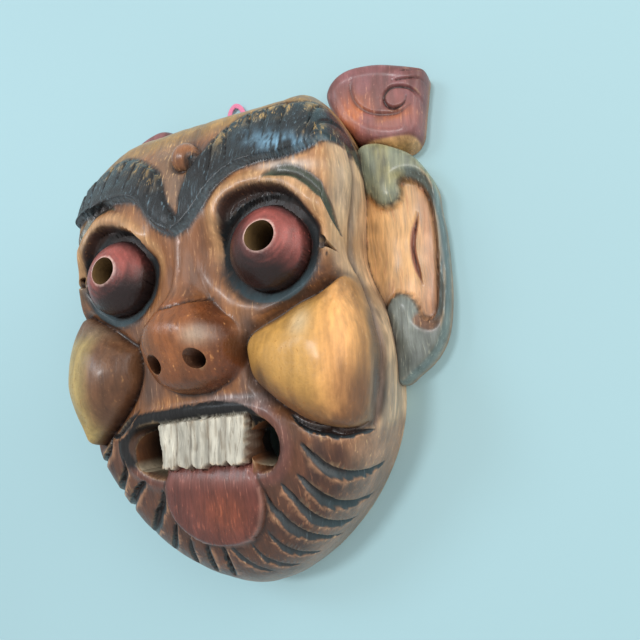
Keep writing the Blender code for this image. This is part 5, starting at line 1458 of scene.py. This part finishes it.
def painted_wood():
    """Worn paint and stain over carved wood, under a semi-gloss varnish."""
    material = bpy.data.materials.new("painted_wood")
    g = Graph(material)
    place = g.node("ShaderNodeTexCoord").outputs["Object"]
    paint = g.node("ShaderNodeAttribute", {"attribute_name": "paint"})
    under = g.node("ShaderNodeAttribute", {"attribute_name": "under"})
    finish = g.node("ShaderNodeAttribute", {"attribute_name": "finish"})
    split = g.node("ShaderNodeSeparateColor", None, Color=finish.outputs["Color"])
    rough, even, height = split.outputs[:3]
    drift = g.node("ShaderNodeTexNoise", None, Vector=place, Scale=38.0, Detail=2.0)
    bent = g.node("ShaderNodeVectorMath", {"operation": "MULTIPLY_ADD"}, at0=drift.outputs["Color"],
                  at1=(0.007, 0.0, 0.007), at2=place).outputs[0]
    fibres = g.spread(g.noise(bent, (1.0, 0.07, 0.6), 1050.0, 4.0, 0.62))
    streaks = g.spread(g.noise(bent, (1.0, 0.045, 0.5), 330.0, 3.0, 0.6))
    specks = g.spread(g.noise(bent, (1.0, 0.7, 1.0), 800.0, 4.0, 0.65))
    clouds = g.spread(g.noise(place, (1.0, 0.5, 1.0), 85.0, 3.0, 0.6))
    along = g.mix(even, fibres, specks)
    limit = g.math("SUBTRACT", 1.0, paint.outputs["Alpha"])
    shows = g.node("ShaderNodeMapRange", {"interpolation_type": "SMOOTHSTEP"}, Value=along,
                   From_Min=g.math("SUBTRACT", limit, 0.1), From_Max=g.math("ADD", limit, 0.14))
    worn = g.math("MULTIPLY", shows.outputs[0], 0.6)
    colour = g.mix(worn, paint.outputs["Color"], under.outputs["Color"])
    shade = g.math("ADD", g.math("MULTIPLY", streaks, 0.5), g.math("MULTIPLY", along, 0.5))
    lit = g.math("MULTIPLY_ADD", g.math("SUBTRACT", shade, 0.52),
                 g.math("MULTIPLY", under.outputs["Alpha"], 0.95))
    g.feed(lit.node.inputs[2], 1.0)
    cloud = g.math("MULTIPLY_ADD", clouds, 0.36)
    g.feed(cloud.node.inputs[2], 0.82)
    factor = g.math("MULTIPLY", lit, cloud)
    toned = g.node("ShaderNodeVectorMath", {"operation": "SCALE"}, at0=colour, Scale=factor).outputs[0]
    gloss = g.math("ADD", rough, g.math("MULTIPLY", g.math("SUBTRACT", along, 0.4), 0.24), clamp=True)
    lift = g.math("ADD", g.math("MULTIPLY", along, height), g.math("MULTIPLY", streaks, 0.4))
    g.surface((0.7, 0.0003, lift), Base_Color=toned, Roughness=gloss, Coat_Weight=0.2,
              Coat_Roughness=0.2)
    return material


def woven_ribbon():
    """Soft pink woven ribbon with fine cross threads."""
    material = bpy.data.materials.new("pink_cord")
    g = Graph(material)
    weave = g.node("ShaderNodeAttribute", {"attribute_name": "along"})
    threads = g.math("SINE", g.math("MULTIPLY", weave.outputs["Fac"], 2 * math.pi / 0.0005))
    place = g.node("ShaderNodeTexCoord").outputs["Object"]
    fuzz = g.noise(place, (1.0, 1.0, 1.0), 2500.0, 3.0, 0.7)
    tone = g.math("ADD", g.math("MULTIPLY", threads, 0.12), fuzz)
    colour = g.mix(g.between(tone, 0.3, 0.75), opaque(RIBBON_PINK * 0.72),
                   opaque(np.clip(RIBBON_PINK * 1.25, 0, 1)))
    g.surface((0.5, 0.0002, tone), Base_Color=colour, Roughness=0.78, Sheen_Weight=0.3)
    return material


def pale_floor():
    """Plain pale floor with a faint, slow change of tone."""
    material = bpy.data.materials.new("pale_floor")
    g = Graph(material)
    place = g.node("ShaderNodeTexCoord").outputs["Object"]
    slow = g.noise(place, (1.0, 1.0, 1.0), 3.0, 1.0, 0.4)
    colour = g.mix(g.between(slow, 0.3, 0.7), opaque(FLOOR_BLUE * 0.96), opaque(FLOOR_BLUE))
    g.surface(Base_Color=colour, Roughness=0.6)
    return material


# The ribbon's edge radius as a share of its thickness, and the metres between its sections
RIBBON_ROUNDING = 0.35
RIBBON_SPACING = 0.0007
# Degrees between two faces above which their edge is drawn sharp
SHARP_ANGLE = 58
# Metres: half the floor's side, and how far it lies below the mask's back
FLOOR_REACH = 2.0
FLOOR_DROP = 0.0002
# Name, kind, power setting, angle or side, place and colour of each light
LAMPS = (("key", "SUN", "key_strength", math.radians(9), (-0.18, 0.27, 1.0), (0.98, 0.99, 1.0)),
         ("soft_box", "AREA", "box_power", 0.26, (-0.42, 0.34, 0.72), (0.8, 0.91, 1.0)),
         ("window", "AREA", "window_power", 0.8, (0.85, 0.4, 0.55), (1.0, 0.97, 0.93)))
LAMP_AIM = (0.0, 0.0, 0.03)


def ribbon_tree(material):
    """Geometry Nodes that sweep a flat section along a curve and note the length travelled."""
    tree = bpy.data.node_groups.new("ribbon_sweep", "GeometryNodeTree")
    tree.interface.new_socket("Route", in_out="INPUT", socket_type="NodeSocketGeometry")
    for name in ("Width", "Thickness", "Spacing"):
        tree.interface.new_socket(name, in_out="INPUT", socket_type="NodeSocketFloat")
    tree.interface.new_socket("Ribbon", in_out="OUTPUT", socket_type="NodeSocketGeometry")

    def add(kind, **settings):
        node = tree.nodes.new(kind)
        for name, value in settings.items():
            setattr(node, name, value)
        return node

    inputs = add("NodeGroupInput")
    resample = add("GeometryNodeResampleCurve", mode="LENGTH")
    upright = add("GeometryNodeSetCurveNormal", mode="Z_UP")
    place = add("GeometryNodeSplineParameter")
    note = add("GeometryNodeStoreNamedAttribute", data_type="FLOAT", domain="POINT")
    note.inputs["Name"].default_value = "along"
    section = add("GeometryNodeCurvePrimitiveQuadrilateral")
    fillet = add("GeometryNodeFilletCurve", mode="POLY")
    radius = add("ShaderNodeMath", operation="MULTIPLY")
    radius.inputs[1].default_value = RIBBON_ROUNDING
    sweep = add("GeometryNodeCurveToMesh")
    sweep.inputs["Fill Caps"].default_value = True
    smooth = add("GeometryNodeSetShadeSmooth")
    realize = add("GeometryNodeRealizeInstances")
    dress = add("GeometryNodeSetMaterial")
    dress.inputs["Material"].default_value = material
    outputs = add("NodeGroupOutput")
    for start, end in (
            (inputs.outputs["Route"], resample.inputs["Curve"]),
            (inputs.outputs["Spacing"], resample.inputs["Length"]),
            (resample.outputs[0], upright.inputs[0]), (upright.outputs[0], note.inputs["Geometry"]),
            (place.outputs["Length"], note.inputs["Value"]),
            (note.outputs[0], sweep.inputs["Curve"]),
            (inputs.outputs["Width"], section.inputs["Width"]),
            (inputs.outputs["Thickness"], section.inputs["Height"]),
            (inputs.outputs["Thickness"], radius.inputs[0]),
            (section.outputs[0], fillet.inputs["Curve"]), (radius.outputs[0], fillet.inputs["Radius"]),
            (fillet.outputs[0], sweep.inputs["Profile Curve"]),
            (sweep.outputs[0], smooth.inputs[0]), (smooth.outputs[0], realize.inputs[0]),
            (realize.outputs[0], dress.inputs["Geometry"]), (dress.outputs[0], outputs.inputs[0])):
        tree.links.new(start, end)
    fillet.inputs["Count"].default_value = 2
    return tree


def set_input(modifier, name, value):
    """Give a Geometry Nodes modifier's named input its value."""
    for item in modifier.node_group.interface.items_tree:
        if item.item_type == "SOCKET" and item.in_out == "INPUT" and item.name == name:
            modifier[item.identifier] = value
            return
    raise KeyError(name)


class MaskSettings(bpy.types.PropertyGroup):
    """Sizes of the finished mask that a user may change."""

    cells: bpy.props.IntProperty(
        name="Grid cells", description="Cells across the face before it is thinned",
        default=420, min=60, max=700)
    triangles: bpy.props.IntProperty(
        name="Face triangles", description="Triangles of the face before ears and holes are added",
        default=136000, min=5000, max=138000)


class RibbonSettings(bpy.types.PropertyGroup):
    """Sizes of the hanging loop."""

    width: bpy.props.FloatProperty(
        name="Ribbon width", description="Width of the flat ribbon", default=0.0026, unit="LENGTH",
        subtype="DISTANCE", precision=5)
    thickness: bpy.props.FloatProperty(
        name="Ribbon thickness", description="Thickness of the flat ribbon", default=0.0009,
        unit="LENGTH", subtype="DISTANCE", precision=5)


class StageSettings(bpy.types.PropertyGroup):
    """Light and background."""

    key_strength: bpy.props.FloatProperty(
        name="Key light", description="Strength of the main light, in watts per square metre",
        default=1.0)
    box_power: bpy.props.FloatProperty(
        name="Soft box", description="Power of the cool light at the upper left", default=1.5,
        unit="POWER")
    window_power: bpy.props.FloatProperty(
        name="Window light", description="Power of the warm light at the right", default=4.5,
        unit="POWER")
    sky: bpy.props.FloatVectorProperty(
        name="Surroundings", description="Colour of the even light from all sides",
        subtype="COLOR", size=4, default=(1.0, 0.985, 0.965, 1.0))
    sky_strength: bpy.props.FloatProperty(
        name="Surroundings strength", description="Strength of the even light", default=0.63)


class MASK_OT_camera(bpy.types.Operator):
    """Place the camera in front of the face."""

    bl_idname = "mask.camera"
    bl_label = "Camera"

    def execute(self, context):
        data = bpy.data.cameras.new("camera")
        data.sensor_width = 36.0
        data.lens = CAMERA_LENS
        data.clip_start = 0.01
        camera = bpy.data.objects.new("camera", data)
        context.scene.collection.objects.link(camera)
        camera.matrix_world = Matrix(CAMERA_ROWS + ((0, 0, 0, 1),))
        context.scene.camera = camera
        return {"FINISHED"}


class MASK_OT_hanging_loop(bpy.types.Operator):
    """Sweep the flat pink ribbon along its route through the rim."""

    bl_idname = "mask.hanging_loop"
    bl_label = "Hanging loop"

    def execute(self, context):
        settings = context.scene.ribbon_settings
        route = smooth_line(CORD_ROUTE, steps=4)
        route = (route - [0, BLOCK_CENTRE_Y, 0]) * MM
        curve = bpy.data.curves.new("ribbon_route", "CURVE")
        curve.dimensions = "3D"
        spline = curve.splines.new("POLY")
        spline.points.add(len(route) - 1)
        for point, place in zip(spline.points, route):
            point.co = (*place, 1.0)
        ribbon = bpy.data.objects.new("ribbon_route", curve)
        context.scene.collection.objects.link(ribbon)
        modifier = ribbon.modifiers.new("sweep", "NODES")
        modifier.node_group = ribbon_tree(woven_ribbon())
        set_input(modifier, "Width", settings.width)
        set_input(modifier, "Thickness", settings.thickness)
        set_input(modifier, "Spacing", RIBBON_SPACING)
        evaluated = ribbon.evaluated_get(context.evaluated_depsgraph_get())
        mesh = bpy.data.meshes.new_from_object(evaluated)
        bpy.data.objects.remove(ribbon)
        loop = bpy.data.objects.new("hanging_loop", mesh)
        context.scene.collection.objects.link(loop)
        if not mesh.polygons:
            raise RuntimeError("the ribbon has no faces")
        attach(loop, "root")
        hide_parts("hanging_cord")
        return {"FINISHED"}


class MASK_OT_carved_mask(bpy.types.Operator):
    """Carve the block and paint it."""

    bl_idname = "mask.carved_mask"
    bl_label = "Carved mask"

    def execute(self, context):
        settings = context.scene.mask_settings
        mask = whole_mask(settings.cells, settings.triangles)
        mesh = mask.data
        write_coat(mesh)
        for layer in ("plan", "flat"):
            mesh.uv_layers.remove(mesh.uv_layers[layer])
        mesh.materials.clear()
        mesh.materials.append(painted_wood())
        mesh.polygons.foreach_set("material_index", np.zeros(len(mesh.polygons), np.int32))
        for material in [m for m in bpy.data.materials if m.name.startswith("kind_")]:
            bpy.data.materials.remove(material)
        mesh.shade_smooth()
        mesh.set_sharp_from_angle(angle=math.radians(SHARP_ANGLE))
        mesh.name = mask.name
        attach(mask, "root")
        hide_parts("carved_mask")
        return {"FINISHED"}


class MASK_OT_stage(bpy.types.Operator):
    """Lay the pale floor and set the soft lights."""

    bl_idname = "mask.stage"
    bl_label = "Stage"

    def execute(self, context):
        settings = context.scene.stage_settings
        bm = bmesh.new()
        bmesh.ops.create_grid(bm, x_segments=8, y_segments=8, size=FLOOR_REACH)
        mesh = bpy.data.meshes.new("floor")
        bm.to_mesh(mesh)
        bm.free()
        floor = bpy.data.objects.new("floor", mesh)
        floor.location.z = -FLOOR_DROP
        context.scene.collection.objects.link(floor)
        mesh.materials.append(pale_floor())
        for name, kind, setting, size, place, colour in LAMPS:
            data = bpy.data.lights.new(name, kind)
            data.energy = getattr(settings, setting)
            data.color = colour
            setattr(data, "angle" if kind == "SUN" else "size", size)
            lamp = bpy.data.objects.new(name, data)
            lamp.location = place
            aim = Vector(LAMP_AIM) - Vector(place)
            lamp.rotation_euler = aim.to_track_quat("-Z", "Y").to_euler()
            context.scene.collection.objects.link(lamp)
        world = bpy.data.worlds.new("surroundings")
        world.use_nodes = True
        sky = world.node_tree.nodes["Background"]
        sky.inputs["Color"].default_value = settings.sky
        sky.inputs["Strength"].default_value = settings.sky_strength
        context.scene.world = world
        context.scene.view_settings.view_transform = "Standard"
        return {"FINISHED"}


class MASK_PT_panel(bpy.types.Panel):
    """Lists the mask's pieces and sizes in the sidebar."""

    bl_idname = "MASK_PT_panel"
    bl_label = "Carved mask"
    bl_space_type = "VIEW_3D"
    bl_region_type = "UI"
    bl_category = "Mask"

    def draw(self, context):
        layout = self.layout
        for group, names in ((context.scene.mask_settings, ("cells", "triangles")),
                             (context.scene.ribbon_settings, ("width", "thickness")),
                             (context.scene.stage_settings,
                              ("key_strength", "box_power", "window_power", "sky",
                                "sky_strength"))):
            for name in names:
                layout.prop(group, name)
        for operator in (MASK_OT_camera, MASK_OT_hanging_loop, MASK_OT_carved_mask, MASK_OT_stage):
            layout.operator(operator.bl_idname)


CLASSES = (MaskSettings, RibbonSettings, StageSettings, MASK_OT_camera, MASK_OT_hanging_loop,
           MASK_OT_carved_mask, MASK_OT_stage, MASK_PT_panel)


def register():
    """Register the classes and attach the settings to the scene."""
    for item in CLASSES:
        bpy.utils.register_class(item)
    bpy.types.Scene.mask_settings = bpy.props.PointerProperty(type=MaskSettings)
    bpy.types.Scene.ribbon_settings = bpy.props.PointerProperty(type=RibbonSettings)
    bpy.types.Scene.stage_settings = bpy.props.PointerProperty(type=StageSettings)


def unregister():
    """Detach the settings and unregister the classes."""
    del bpy.types.Scene.stage_settings
    del bpy.types.Scene.ribbon_settings
    del bpy.types.Scene.mask_settings
    for item in reversed(CLASSES):
        bpy.utils.unregister_class(item)


def main():
    """Build everything."""
    register()
    bpy.ops.mask.camera()
    bpy.ops.mask.hanging_loop()
    bpy.ops.mask.carved_mask()
    bpy.ops.mask.stage()


if __name__ == "__main__":
    main()
